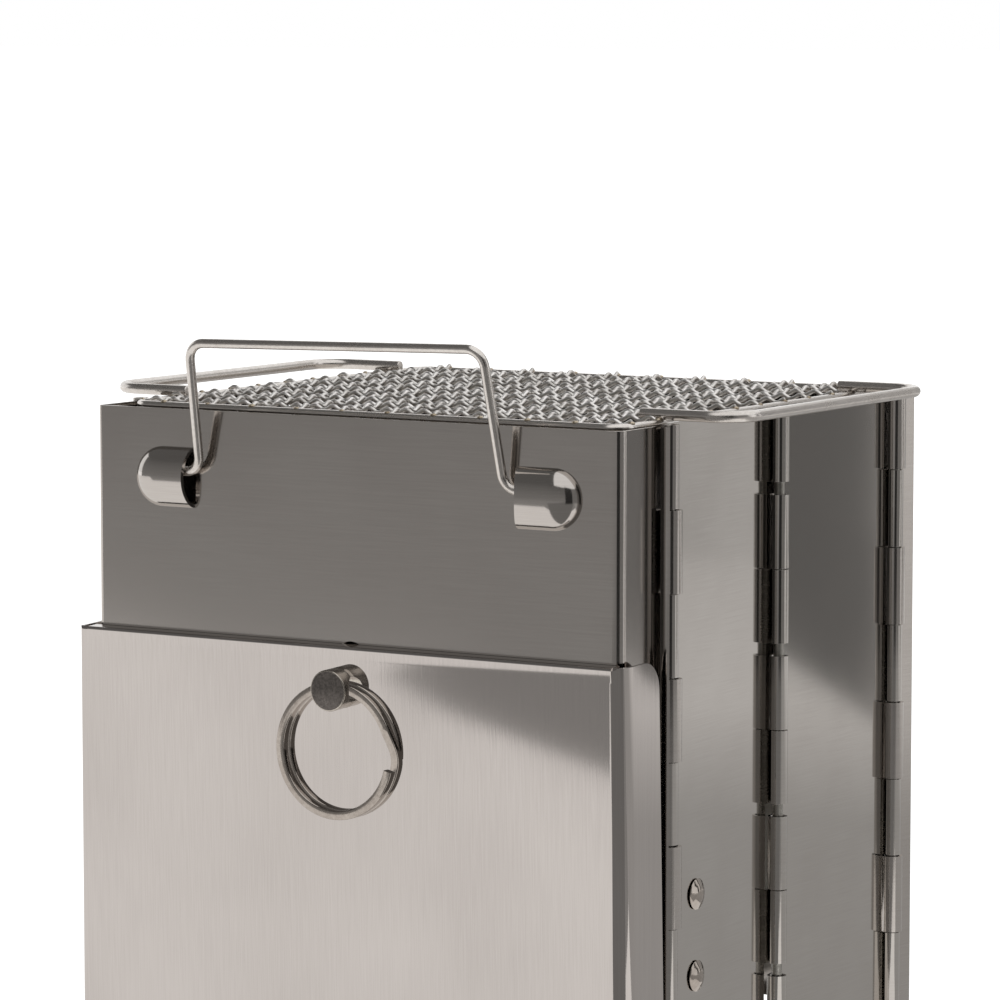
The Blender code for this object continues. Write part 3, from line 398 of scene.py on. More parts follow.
def turned(shape: bmesh.types.BMesh, profile: Sequence[Point], place: Place, axis: Place,
           steps: int = 48) -> None:
    """Revolve (radius, distance) points about an axis through a place.

    Args:
        shape: The mesh that gets it.
        profile: Points whose ends lie on the axis.
        place: Origin of the distances.
        axis: Direction of the axis.
        steps: Stretches in a turn.
    """
    turn = Vector((0.0, 0.0, 1.0)).rotation_difference(Vector(axis)).to_matrix()
    start = Vector(place)
    rows: list[list[bmesh.types.BMVert]] = []
    for radius, along in profile:
        count = 1 if radius == 0.0 else steps
        rows.append([shape.verts.new(start + turn @ Vector((
            radius * math.cos(math.tau * step / steps), radius * math.sin(math.tau * step / steps), along)))
            for step in range(count)])
    for first, second in zip(rows, rows[1:]):
        for step in range(steps):
            after = (step + 1) % steps
            corners = [first[step % len(first)], first[after % len(first)],
                       second[after % len(second)], second[step % len(second)]]
            shape.faces.new(list(dict.fromkeys(corners)))


def rounded_route(corners: Sequence[Place], radii: float | Sequence[float], steps: int = 10,
                  closed: bool = False) -> list[Vector]:
    """Points of a wire's route, with each corner bent to a radius.

    Args:
        corners: Corner points.
        radii: One radius, or one for each corner.
        steps: Stretches in a bend.
        closed: Whether the route closes on itself.

    Returns:
        The route's points.
    """
    spots = [Vector(corner) for corner in corners]
    count = len(spots)
    sizes = [radii] * count if isinstance(radii, float) else list(radii)
    route: list[Vector] = []
    for index, corner in enumerate(spots):
        if not closed and index in (0, count - 1):
            route.append(corner)
            continue
        back = (spots[index - 1] - corner).normalized()
        ahead = (spots[(index + 1) % count] - corner).normalized()
        half = back.angle(ahead) / 2.0
        centre = corner + (back + ahead).normalized() * (sizes[index] / math.sin(half))
        first = corner + back * (sizes[index] / math.tan(half)) - centre
        last = corner + ahead * (sizes[index] / math.tan(half)) - centre
        axis = first.cross(last).normalized()
        turn = first.angle(last)
        route += [centre + Matrix.Rotation(turn * step / steps, 3, axis) @ first
                  for step in range(steps + 1)]
    return route


def settled(thing: bpy.types.Object) -> None:
    """Apply an object's modifiers to its mesh, and take them off.

    Args:
        thing: The object.
    """
    graph = bpy.context.evaluated_depsgraph_get()
    mesh = bpy.data.meshes.new_from_object(thing.evaluated_get(graph))
    thing.modifiers.clear()
    thing.data = mesh
    mesh.name = thing.name


def new_object(name: str, shape: bmesh.types.BMesh, place: Matrix | None = None,
               merge: bool = True) -> bpy.types.Object:
    """Make a shape an object whose place is in its mesh.

    Args:
        name: Name of the object.
        shape: Its geometry, freed afterwards.
        place: Matrix from the shape's own frame to the stove's.
        merge: Whether doubled points are merged first.

    Returns:
        The object.
    """
    if merge:
        bmesh.ops.remove_doubles(shape, verts=shape.verts, dist=1e-7)
    if place:
        bmesh.ops.transform(shape, matrix=place, verts=shape.verts)
    bmesh.ops.recalc_face_normals(shape, faces=shape.faces)
    mesh = bpy.data.meshes.new(name)
    shape.to_mesh(mesh)
    shape.free()
    thing = bpy.data.objects.new(name, mesh)
    bpy.context.collection.objects.link(thing)
    return thing


def worked(thing: bpy.types.Object, joined: bmesh.types.BMesh | None, cuts: bmesh.types.BMesh | None,
           place: Matrix, edge: float, material: bpy.types.Material) -> bpy.types.Object:
    """Join and cut a piece, soften its edges and dress it.

    Args:
        thing: The piece.
        joined: What is joined to it, or None.
        cuts: What is cut out of it, or None.
        place: Matrix of the tools' frame.
        edge: Radius of its edges.
        material: Its finish.

    Returns:
        The piece.
    """
    tools = []
    for shape, operation in ((joined, "UNION"), (cuts, "DIFFERENCE")):
        if shape is None:
            continue
        tool = new_object(f"{thing.name}_{operation.lower()}", shape, place)
        modifier = thing.modifiers.new(operation, "BOOLEAN")
        modifier.operation = operation
        modifier.solver = "EXACT"
        modifier.use_self = True
        modifier.object = tool
        tools.append(tool)
    settled(thing)
    for tool in tools:
        bpy.data.objects.remove(tool, do_unlink=True)
    softened(thing, edge)
    thing.data.materials.clear()
    thing.data.materials.append(material)
    return thing


def softened(thing: bpy.types.Object, edge: float) -> None:
    """Round a piece's sharp edges a little, and keep its flat faces flat in shading.

    Args:
        thing: The piece.
        edge: Width of the rounding.
    """
    bevel = thing.modifiers.new("edge", "BEVEL")
    bevel.width = edge
    bevel.segments = 2
    bevel.limit_method = "ANGLE"
    bevel.angle_limit = math.radians(40.0)
    bevel.harden_normals = False
    settled(thing)
    thing.data.shade_smooth()
    thing.data.set_sharp_from_angle(angle=math.radians(50.0))
    weighted = thing.modifiers.new("flat", "WEIGHTED_NORMAL")
    weighted.weight = 100
    weighted.keep_sharp = True
    settled(thing)


def new_tree(name: str, **inputs: str) -> tuple[bpy.types.NodeTree, Any]:
    """Start a geometry node tree with its named inputs.

    Args:
        name: Name of the tree.
        inputs: Each input's name and kind, such as Radius="Float".

    Returns:
        The tree and its input sockets.
    """
    tree = bpy.data.node_groups.new(name, "GeometryNodeTree")
    tree.interface.new_socket("Geometry", in_out="OUTPUT", socket_type="NodeSocketGeometry")
    for label, kind in inputs.items():
        tree.interface.new_socket(label, in_out="INPUT", socket_type=f"NodeSocket{kind}")
    return tree, add_node(tree, "NodeGroupInput").outputs


def round_section(tree: bpy.types.NodeTree, start: Any, curve: bpy.types.NodeSocket) -> bpy.types.NodeSocket:
    """Sweep a smooth round section along a tree's curve.

    Args:
        tree: The tree, with the inputs Radius and Sides.
        start: Its input sockets.
        curve: Output of the curve.

    Returns:
        Output of the swept wire.
    """
    section = add_node(tree, "GeometryNodeCurvePrimitiveCircle", {
        "Resolution": start["Sides"], "Radius": start["Radius"]})
    swept = add_node(tree, "GeometryNodeCurveToMesh", {
        "Curve": curve, "Profile Curve": section.outputs[0], "Fill Caps": True})
    return add_node(tree, "GeometryNodeSetShadeSmooth", {"Geometry": swept.outputs[0]}).outputs[0]


def finished_tree(tree: bpy.types.NodeTree, start: Any, shape: bpy.types.NodeSocket) -> bpy.types.NodeTree:
    """End a tree: make its instances real and set its finish.

    Args:
        tree: The tree, with the input Finish.
        start: Its input sockets.
        shape: Output of its geometry.

    Returns:
        The tree.
    """
    whole = add_node(tree, "GeometryNodeRealizeInstances", {"Geometry": shape})
    dressed = add_node(tree, "GeometryNodeSetMaterial", {"Geometry": whole.outputs[0],
                                                         "Material": start["Finish"]})
    add_node(tree, "NodeGroupOutput", {"Geometry": dressed.outputs[0]})
    return tree


class WireTree:
    """Geometry nodes that sweep a round section along a route."""

    def __init__(self) -> None:
        """Build the tree with its named inputs."""
        tree, start = new_tree("round_wire", Route="Geometry", Radius="Float", Sides="Int",
                               Finish="Material")
        route = add_node(tree, "GeometryNodeMeshToCurve", {"Mesh": start["Route"]})
        self.tree = finished_tree(tree, start, round_section(tree, start, route.outputs[0]))

    def sweep(self, name: str, route: Sequence[Vector], radius: float, material: bpy.types.Material,
              place: Matrix, closed: bool = False, sides: int = 20) -> bpy.types.Object:
        """Make one wire.

        Args:
            name: Name of the piece.
            route: Its centre line.
            radius: Its radius.
            material: Its finish.
            place: Matrix from the route's frame to the stove's.
            closed: Whether the route closes on itself.
            sides: Sides of the round section.

        Returns:
            The wire.
        """
        shape = bmesh.new()
        verts = [shape.verts.new(place @ Vector(point)) for point in route]
        for first, second in zip(verts, verts[1:]):
            shape.edges.new((first, second))
        if closed:
            shape.edges.new((verts[-1], verts[0]))
        thing = new_object(name, shape, None, False)
        through_nodes(thing, self.tree, {"Radius": radius, "Sides": sides, "Finish": material})
        thing.data.set_sharp_from_angle(angle=math.radians(50.0))
        return thing


def through_nodes(thing: bpy.types.Object, tree: bpy.types.NodeTree, values: dict[str, Any]) -> None:
    """Run an object through a geometry node tree and keep the result as its plain mesh.

    Args:
        thing: The object.
        tree: The tree.
        values: Its inputs by name.
    """
    modifier = thing.modifiers.new(tree.name, "NODES")
    modifier.node_group = tree
    sockets = {item.name: item.identifier for item in tree.interface.items_tree if item.in_out == "INPUT"}
    for name, value in values.items():
        modifier[sockets[name]] = value
    settled(thing)


class WeaveTree:
    """Geometry nodes for one family of crimped wires, bent over and under the other family."""

    def __init__(self) -> None:
        """Build the tree with its named inputs."""
        tree, start = new_tree("crimped_weave", Carrier="Geometry", Start="Vector", Along="Vector",
                               Across="Vector", Wires="Int", Samples="Int", Crimp="Vector",
                               Lift="Float", Radius="Float", Sides="Int", Crossing="Vector",
                               Finish="Material")
        line = add_node(tree, "GeometryNodeCurvePrimitiveLine", {"End": start["Along"]})
        fine = add_node(tree, "GeometryNodeResampleCurve", {"Curve": line.outputs[0],
                                                            "Count": start["Samples"]})
        rows = add_node(tree, "GeometryNodeMeshLine", {"Count": start["Wires"],
                                                       "Start Location": start["Start"],
                                                       "Offset": start["Across"]})
        laid = add_node(tree, "GeometryNodeInstanceOnPoints", {"Points": rows.outputs[0],
                                                               "Instance": fine.outputs[0]})
        whole = add_node(tree, "GeometryNodeRealizeInstances", {"Geometry": laid.outputs[0]})
        spot = add_node(tree, "GeometryNodeInputPosition")
        rel = add_node(tree, "ShaderNodeVectorMath", {0: spot.outputs[0], 1: start["Crossing"]},
                       operation="SUBTRACT")
        share = add_node(tree, "ShaderNodeVectorMath", {0: rel.outputs[0], 1: start["Crimp"]},
                         operation="DIVIDE")
        angle = add_node(tree, "ShaderNodeVectorMath", {0: share.outputs[0], "Scale": math.pi},
                         operation="SCALE")
        axes = add_node(tree, "ShaderNodeSeparateXYZ", {0: angle.outputs[0]})
        waves = [add_node(tree, "ShaderNodeMath", {0: axes.outputs[axis]}, operation="COSINE")
                 for axis in (0, 1)]
        both = add_node(tree, "ShaderNodeMath", {0: waves[0].outputs[0], 1: waves[1].outputs[0]},
                        operation="MULTIPLY")
        lift = add_node(tree, "ShaderNodeMath", {0: both.outputs[0], 1: start["Lift"]},
                        operation="MULTIPLY")
        move = add_node(tree, "ShaderNodeCombineXYZ", {"Z": lift.outputs[0]})
        bent = add_node(tree, "GeometryNodeSetPosition", {"Geometry": whole.outputs[0],
                                                          "Offset": move.outputs[0]})
        self.tree = finished_tree(tree, start, round_section(tree, start, bent.outputs[0]))


class NuggetTree:
    """Geometry nodes that set an uneven nugget of weld metal on each of a piece's points."""

    def __init__(self) -> None:
        """Build the tree with its named inputs."""
        tree, start = new_tree("weld_nuggets", Spots="Geometry", Radius="Float", Flatness="Vector",
                               Finish="Material")
        bead = add_node(tree, "GeometryNodeMeshUVSphere", {"Segments": 14, "Rings": 8,
                                                           "Radius": start["Radius"]})
        smooth = add_node(tree, "GeometryNodeSetShadeSmooth", {"Geometry": bead.outputs[0]})
        chance = add_node(tree, "FunctionNodeRandomValue", {2: 0.75, 3: 1.1, "Seed": 7},
                          data_type="FLOAT")
        size = add_node(tree, "ShaderNodeVectorMath", {0: start["Flatness"], "Scale": chance.outputs[1]},
                        operation="SCALE")
        laid = add_node(tree, "GeometryNodeInstanceOnPoints", {
            "Points": start["Spots"], "Instance": smooth.outputs[0], "Scale": size.outputs[0]})
        self.tree = finished_tree(tree, start, laid.outputs[0])


@dataclass
class Plan:
    """Sizes shared by the sub-assemblies, in metres, and the frames of their bodies."""

    width: float = 149.0 * MM
    height: float = 190.0 * MM
    shell_sheet: float = 0.8 * MM
    shell_bend: float = 2.5 * MM
    left_bend: float = 1.3 * MM
    left_flare: float = 1.0 * MM
    rear_flare: float = 1.5 * MM
    door_bend: float = 4.2 * MM
    face_drop: float = 2.2 * MM
    front_flange: float = 19.4 * MM
    rear_flange: float = 11.68 * MM
    panel_sheet: float = 0.65 * MM
    panel_span: float = 59.0 * MM
    panel_inset: float = 2.18 * MM
    knuckle_pitch: float = 20.0 * MM
    knuckle_count: int = 8
    knuckle_play: float = 0.3 * MM
    pin_radius: float = 1.3 * MM
    hinge_offset: float = 1.5 * MM
    shell_roll_play: float = 0.4 * MM
    middle_roll_play: float = 0.25 * MM
    middle_opening: float = 2.9 * MM
    notch_play: float = 0.5 * MM
    fit: float = 0.3 * MM
    panel_rise: float = 0.4 * MM
    ledge_drop: float = 114.5 * MM
    rivet_pitch: float = 20.0 * MM
    rivet_back: float = 18.6 * MM
    front_y: float = field(init=False)
    pin_x: float = field(init=False)
    tilt: float = field(init=False)
    rear_pin_y: float = field(init=False)
    depth: float = field(init=False)
    panel_top: float = field(init=False)
    panel_foot: float = field(init=False)

    def __post_init__(self) -> None:
        """Work out the places that follow from the sizes and from the frame."""
        low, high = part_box("right_front_pin")
        self.pin_x = self.width / 2.0 + self.hinge_offset
        self.front_y = (low[1] + high[1]) / 2.0 - self.front_flange
        self.tilt = math.asin(self.panel_inset / self.panel_span)
        self.rear_pin_y = self.front_flange + 2.0 * self.panel_span * math.cos(self.tilt)
        self.depth = self.rear_pin_y + self.rear_flange
        self.panel_top = self.height + self.panel_rise
        self.panel_foot = self.panel_top - self.knuckle_pitch * self.knuckle_count

    def stove(self) -> Matrix:
        """Frame of the front body: origin on the ground at the front face."""
        return Matrix.Translation((0.0, self.front_y, 0.0))

    def front_panel(self, side: float) -> Matrix:
        """Frame of a front panel, at its first pin."""
        return (self.stove() @ Matrix.Translation((side * self.pin_x, self.front_flange, 0.0))
                @ Matrix.Rotation(side * self.tilt, 4, "Z"))

    def rear_panel(self, side: float) -> Matrix:
        """Frame of a rear panel, at its middle pin."""
        return (self.front_panel(side) @ Matrix.Translation((0.0, self.panel_span, 0.0))
                @ Matrix.Rotation(-2.0 * side * self.tilt, 4, "Z"))

    def back(self) -> Matrix:
        """Frame of the back shell, at its right-hand pin."""
        return self.stove() @ Matrix.Translation((self.pin_x, self.rear_pin_y, 0.0))

    def knuckles(self, first: int, below: float = 0.0) -> list[Point]:
        """Heights held by every other knuckle, counted from the top.

        Args:
            first: 0 or 1, the first knuckle held.
            below: Opening under an even knuckle and over an odd one.

        Returns:
            The (foot, top) of each.
        """
        held = []
        for index in range(first, self.knuckle_count, 2):
            top = self.panel_top - index * self.knuckle_pitch - self.knuckle_play / 2.0
            foot = self.panel_top - (index + 1) * self.knuckle_pitch + self.knuckle_play / 2.0
            if index % 2:
                top -= below / 2.0
            else:
                foot += below / 2.0
            if index == 0:
                top = self.panel_top
            if index == self.knuckle_count - 1:
                foot = self.panel_foot
            held.append((foot, top))
        return held

    def spaces(self, held: Sequence[Point], low: float, high: float) -> list[Point]:
        """What is left of a range between the stretches held.

        Args:
            held: The (foot, top) of each stretch.
            low: Foot of the range.
            high: Its top.

        Returns:
            The (foot, top) of each space.
        """
        edges = [low]
        for foot, top in sorted(held):
            edges += [foot, top]
        edges.append(high)
        return [(foot, top) for foot, top in zip(edges[::2], edges[1::2])
                if top - foot > self.knuckle_play / 2.0]


def roll_path(centre: Point, bore: float, start: float, side: float = 1.0) -> list[Point]:
    """Inner face of a roll that starts tangent to its sheet and goes round its pin."""
    return arc(centre, bore, start, start + side * ROLL_SWEEP, ROLL_STEPS)


@dataclass
class Shells:
    """The two U-shaped shells: the front one with its drawn loops, the back one with its doorway."""

    plan: Plan
    finishes: Finishes
    loop_half_height: float = 7.4 * MM
    loop_proud: float = 4.5 * MM
    loop_drop: float = 16.7 * MM
    loop_start: float = 46.4 * MM
    loop_length: float = 16.7 * MM
    loop_bow: float = 1.1 * MM
    loop_squareness: float = 0.92
    loop_end: float = math.radians(84.0)
    opening_half: float = 55.0 * MM
    opening_foot: float = 40.0 * MM
    opening_top: float = 118.0 * MM
    opening_corner: float = 6.0 * MM
    doorway_half: float = 62.0 * MM
    doorway_foot: float = -15.0 * MM
    doorway_top: float = 27.3 * MM
    doorway_corner: float = 5.0 * MM
    front_reach: float = 5.0 * MM
    rear_reach: float = 4.0 * MM
    hole_x: float = -1.0 * MM
    hole_drop: float = 58.6 * MM
    hole_radius: float = 4.6 * MM
    edge: float = 0.14 * MM

    def half(self, flange: float, drop: float, bend: float, flare: float) -> list[Point]:
        """Right-hand half of a shell's inner line in plan.

        Args:
            flange: Distance of the pin behind the face.
            drop: Distance of the flange inside the pin.
            bend: Radius of the upright bend.
            flare: How far the bend stands outside the flange's other end.

        Returns:
            The points, from the roll to the bend.
        """
        plan = self.plan
        bore = max(drop, plan.hinge_offset + plan.shell_roll_play)
        side = plan.pin_x - drop
        half = roll_path((plan.pin_x, flange), bore, math.pi, -1.0)[::-1]
        half.append((side, flange - bore - 2.0 * plan.shell_roll_play))
        return half + arc((side + flare - bend, bend), bend, 0.0, -math.pi / 2.0, 10)

    def outline(self, right: list[Point], left: list[Point]) -> list[Point]:
        """Plan outline of a shell, from one roll round to the other."""
        return strip(right + mirrored(left)[::-1], self.plan.shell_sheet)

    def notches(self, cuts: bmesh.types.BMesh, gaps: Sequence[Point], near: float, far: float) -> None:
        """Cut a shell's edges back between its own knuckles, on both sides.

        Args:
            cuts: The mesh that gets the cutters.
            gaps: The (foot, top) of each gap.
            near: First end of the cutters.
            far: Their last end.
        """
        plan = self.plan
        inner = plan.pin_x - plan.face_drop - plan.shell_sheet - plan.shell_roll_play - plan.notch_play
        outer = plan.pin_x + plan.face_drop + plan.shell_roll_play + plan.shell_sheet + plan.notch_play
        for foot, top in gaps:
            for low, high in ((inner, outer), (-outer, -inner)):
                block(cuts, (low, near, foot), (high, far, top))

    def dome(self, x: float, shrink: float, wall: float, base: float, bow: float = 0.0) -> list[Place]:
        """Half-oval section of a loop at one place along it, closed behind inside the sheet.

        Args:
            x: The place.
            shrink: Its size against the full section.
            wall: How far it stands inside the outer form.
            base: Level of its closed side, behind the shell's face.
            bow: How much further along the crown is than the sides.

        Returns:
            The section's points.
        """
        half_height = (self.loop_half_height - wall) * shrink
        proud = (self.loop_proud - wall) * shrink
        middle = self.plan.height - self.loop_drop
        steps = 32
        ring = [(x + bow * math.sin(angle) ** 2, -proud * math.sin(angle) ** self.loop_squareness,
                 middle + half_height * math.cos(angle))
                for angle in (math.pi * step / steps for step in range(1, steps))]
        return ring + [(x, base, middle - half_height), (x, base, middle + half_height)]

    def loop(self, shape: bmesh.types.BMesh, side: float, wall: float, mouth: float, base: float) -> None:
        """Outer or inner form of one drawn loop, open towards the middle of the stove.

        Args:
            shape: The mesh that gets it.
            side: 1 for the right, -1 for the left.
            wall: How far it stands inside the outer form.
            mouth: How far it reaches out of the loop's mouth, 0 for the outer form.
            base: Level of its closed side, behind the shell's face.
        """
        round_from = self.loop_start + self.loop_length - self.loop_half_height
        bow = 0.0 if mouth else side * self.loop_bow
        rings = [self.dome(side * (self.loop_start - mouth), 1.0, wall, base, bow)]
        reach = self.loop_half_height - wall
        steps = 12
        for step in range(steps + 1):
            angle = self.loop_end * step / steps
            rings.append(self.dome(side * (round_from + reach * math.sin(angle)), math.cos(angle), wall,
                                   base))
        loft(shape, rings)

    def front(self) -> bpy.types.Object:
        """Build the front shell.

        Returns:
            The piece.
        """
        plan = self.plan
        place = plan.stove()
        shape = bmesh.new()
        right = self.half(plan.front_flange, plan.face_drop, plan.shell_bend, 0.0)
        left = self.half(plan.front_flange, plan.hinge_offset, plan.left_bend, plan.left_flare)
        prism(shape, self.outline(right, left), 0.0, plan.height)
        shell = new_object("shell_front", shape, place)
        loops = bmesh.new()
        cuts = bmesh.new()
        for side in (1.0, -1.0):
            self.loop(loops, side, 0.0, 0.0, plan.shell_sheet / 2.0)
            self.loop(cuts, side, plan.shell_sheet, plan.fit, 2.0 * plan.shell_sheet)
        notch = plan.hinge_offset + plan.panel_sheet + plan.notch_play
        self.notches(cuts, plan.spaces(plan.knuckles(1), -MM, plan.panel_top + MM),
                     plan.front_flange - notch, plan.front_flange + self.front_reach)
        prism(cuts, rounded_box(-self.opening_half, self.opening_half, self.opening_foot, self.opening_top,
                                self.opening_corner), -plan.shell_sheet, 2.0 * plan.shell_sheet, "Y")
        prism(cuts, arc((self.hole_x, plan.height - self.hole_drop), self.hole_radius, 0.0, math.tau,
                        48)[:-1],
              -plan.shell_sheet, 2.0 * plan.shell_sheet, "Y")
        worked(shell, loops, cuts, place, self.edge, self.finishes.shell)
        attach(shell, "front")
        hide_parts("front_shell")
        return shell

    def rear(self) -> bpy.types.Object:
        """Build the back shell.

        Returns:
            The piece.
        """
        plan = self.plan
        place = plan.back()
        flange = plan.rear_flange
        half = self.half(flange, plan.hinge_offset, plan.left_bend, plan.rear_flare)
        outline = [(x - plan.pin_x, flange - y) for x, y in self.outline(half, half)]
        shape = bmesh.new()
        prism(shape, outline, 0.0, plan.height)
        shell = new_object("shell_back", shape, place)
        cuts = bmesh.new()
        notch = plan.hinge_offset + plan.panel_sheet + plan.notch_play
        self.notches(cuts, plan.spaces(plan.knuckles(0), -MM, plan.panel_top + MM), -self.rear_reach, notch)
        bmesh.ops.translate(cuts, verts=cuts.verts, vec=(-plan.pin_x, 0.0, 0.0))
        prism(cuts, rounded_box(-self.doorway_half - plan.pin_x, self.doorway_half - plan.pin_x,
                                self.doorway_foot, self.doorway_top, self.doorway_corner),
              flange - 2.0 * plan.shell_sheet, flange + plan.shell_sheet, "Y")
        worked(shell, None, cuts, place, self.edge, self.finishes.shell)
        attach(shell, "back")
        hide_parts("back_shell")
        return shell


@dataclass
class Bellows:
    """Four side panels that fold inwards, their piano hinges, pins and rivets."""

    plan: Plan
    finishes: Finishes
    wires: WireTree
    edge: float = 0.12 * MM
    pin_edge: float = 0.3 * MM
    lead: float = 2.0 * MM
    reach: float = 4.0 * MM

    def outline(self, near_play: float, far_play: float, near_drop: float, far_drop: float) -> list[Point]:
        """Plan outline of a right-hand panel, near pin at the origin and far pin on +Y.

        Args:
            near_play: What the near roll's bore has more than the pin line's offset.
            far_play: The same of the far roll.
            near_drop: Distance of the face inside the near pin.
            far_drop: The same at the far pin.

        Returns:
            The outline's points.
        """
        plan = self.plan
        near = plan.hinge_offset + near_play
        far = plan.hinge_offset + far_play
        path = roll_path((0.0, plan.panel_span), far, math.pi, -1.0)[::-1]
        path.append((-far_drop, plan.panel_span - far - far_play - self.lead))
        path.append((-near_drop, near + near_play + self.lead))
        path += roll_path((0.0, 0.0), near, math.pi, 1.0)
        return strip(path, plan.panel_sheet)

    def panel(self, side: float, front: bool) -> bpy.types.Object:
        """Build one panel.

        Args:
            side: 1 for the right, -1 for the left.
            front: Whether it is the front panel of its side.

        Returns:
            The piece.
        """
        plan = self.plan
        name = "right" if side > 0 else "left"
        which = "front" if front else "rear"
        place = plan.front_panel(side) if front else plan.rear_panel(side)
        shell_notch = plan.hinge_offset + plan.shell_roll_play + plan.shell_sheet + plan.notch_play
        middle_notch = plan.hinge_offset + plan.middle_roll_play + plan.panel_sheet + plan.notch_play
        drop = plan.face_drop if side > 0 else plan.hinge_offset
        # First knuckle held, play of the roll, depth of the notches and opening between knuckles
        first = 0 if front else 1
        outer = (first, 0.0, shell_notch, 0.0)
        middle = (first, plan.middle_roll_play, middle_notch, plan.middle_opening)
        near, far = (outer, middle) if front else (middle, outer)
        outline = self.outline(near[1], far[1], drop, drop if front else plan.hinge_offset)
        shape = bmesh.new()
        prism(shape, outline if side > 0 else mirrored(outline), plan.panel_foot, plan.panel_top)
        piece = new_object(f"panel_{name}_{which}", shape, place)
        cuts = bmesh.new()
        for edge, direction, (first, _, depth, opening) in ((0.0, 1.0, near), (plan.panel_span, -1.0, far)):
            ends = sorted((edge - direction * self.reach, edge + direction * depth))
            for foot, top in plan.spaces(plan.knuckles(first, opening), plan.panel_foot - MM,
                                         plan.panel_top + MM):
                block(cuts, (-self.reach, ends[0], foot), (self.reach, ends[1], top))
        worked(piece, None, cuts, place, self.edge, self.finishes.panel)
        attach(piece, f"{name}_{which}")
        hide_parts(f"{name}_{which}_panel")
        return piece

    def pin(self, name: str, body: str, frame: Matrix) -> bpy.types.Object:
        """Build one hinge pin along its frame's upright axis.

        Args:
            name: The hinge that it belongs to.
            body: The body that it moves with.
            frame: Its frame.

        Returns:
            The piece.
        """
        plan = self.plan
        foot = plan.panel_foot + plan.fit
        top = plan.panel_top - plan.fit
        route = [Vector((0.0, 0.0, foot + (top - foot) * step / 8)) for step in range(9)]
        piece = self.wires.sweep(f"pin_{name}", route, plan.pin_radius, self.finishes.pin, frame, sides=24)
        softened(piece, self.pin_edge)
        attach(piece, body)
        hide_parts(f"{name}_pin")
        return piece

    def rivet_mesh(self, shape: bmesh.types.BMesh, place: Place, axis: Place, grip: float) -> None:
        """Add a rivet: a low domed head outside, its shank and the formed head inside.

        Args:
            shape: The mesh that gets it.
            place: Where its axis meets the sheet's face.
            axis: Direction of its head.
            grip: Thickness of what it holds.
        """
        head, crown, shank = 3.8 * MM, 1.5 * MM, 2.0 * MM
        fit = self.plan.fit
        dome = [(0.0, crown), (0.3 * head, crown - 0.01 * MM), (0.42 * head, crown - 0.08 * MM),
                (0.62 * head, crown - 0.36 * MM), (0.82 * head, crown - 0.76 * MM),
                (0.95 * head, fit + 0.28 * MM), (head, fit + 0.12 * MM), (0.985 * head, fit)]
        inner = [(shank, fit), (shank, -grip - fit), (0.75 * head, -grip - fit),
                 (0.8 * head, -grip - fit - 0.2 * MM), (0.74 * head, -grip - fit - 0.6 * MM),
                 (0.6 * head, -grip - fit - 0.8 * MM), (0.0, -grip - fit - 0.8 * MM)]
        turned(shape, dome + inner, place, axis)

    def rivets(self, side: float) -> list[bpy.types.Object]:
        """Build the two rivets of one front panel.

        Args:
            side: 1 for the right, -1 for the left.

        Returns:
            The pieces.
        """
        plan = self.plan
        name = "right" if side > 0 else "left"
        made = []
        for level, which in enumerate(("upper", "lower")):
            shape = bmesh.new()
            height = plan.height - plan.ledge_drop - level * plan.rivet_pitch
            drop = plan.face_drop if side > 0 else plan.hinge_offset
            self.rivet_mesh(shape, (-side * drop, plan.rivet_back, height), (side, 0.0, 0.0),
                            plan.panel_sheet + plan.fit + 0.6 * MM)
            piece = new_object(f"rivet_{name}_{which}", shape, plan.front_panel(side))
            piece.data.materials.append(self.finishes.nickel)
            piece.data.shade_smooth()
            piece.data.set_sharp_from_angle(angle=math.radians(40.0))
            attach(piece, f"{name}_front")
            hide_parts(f"{name}_{which}_rivet")
            made.append(piece)
        return made

    def rear_rivets(self) -> list[bpy.types.Object]:
        """Build the two rivets of the back shell.

        Returns:
            The pieces.
        """
        plan = self.plan
        made = []
        for side, which in ((1.0, "right"), (-1.0, "left")):
            shape = bmesh.new()
            self.rivet_mesh(shape, (side * 30.0 * MM - plan.pin_x, plan.rear_flange,
                                    plan.height - plan.ledge_drop), (0.0, 1.0, 0.0),
                            plan.shell_sheet + plan.fit + 1.0 * MM)
            piece = new_object(f"rivet_rear_{which}", shape, plan.back())
            piece.data.materials.append(self.finishes.nickel)
            piece.data.shade_smooth()
            piece.data.set_sharp_from_angle(angle=math.radians(40.0))
            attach(piece, "back")
            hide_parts(f"rear_{which}_rivet")
            made.append(piece)
        return made

    def build(self) -> list[bpy.types.Object]:
        """Build the panels, pins and rivets of both sides.

        Returns:
            The pieces.
        """
        plan = self.plan
        made = []
        for side, name in ((1.0, "right"), (-1.0, "left")):
            made += [self.panel(side, True), self.panel(side, False)]
            made.append(self.pin(f"{name}_front", "front", plan.stove() @ Matrix.Translation(
                (side * plan.pin_x, plan.front_flange, 0.0))))
            made.append(self.pin(f"{name}_middle", f"{name}_front", plan.rear_panel(side)))
            made.append(self.pin(f"{name}_rear", "back", plan.stove() @ Matrix.Translation(
                (side * plan.pin_x, plan.rear_pin_y, 0.0))))
            made += self.rivets(side)
        return made + self.rear_rivets()


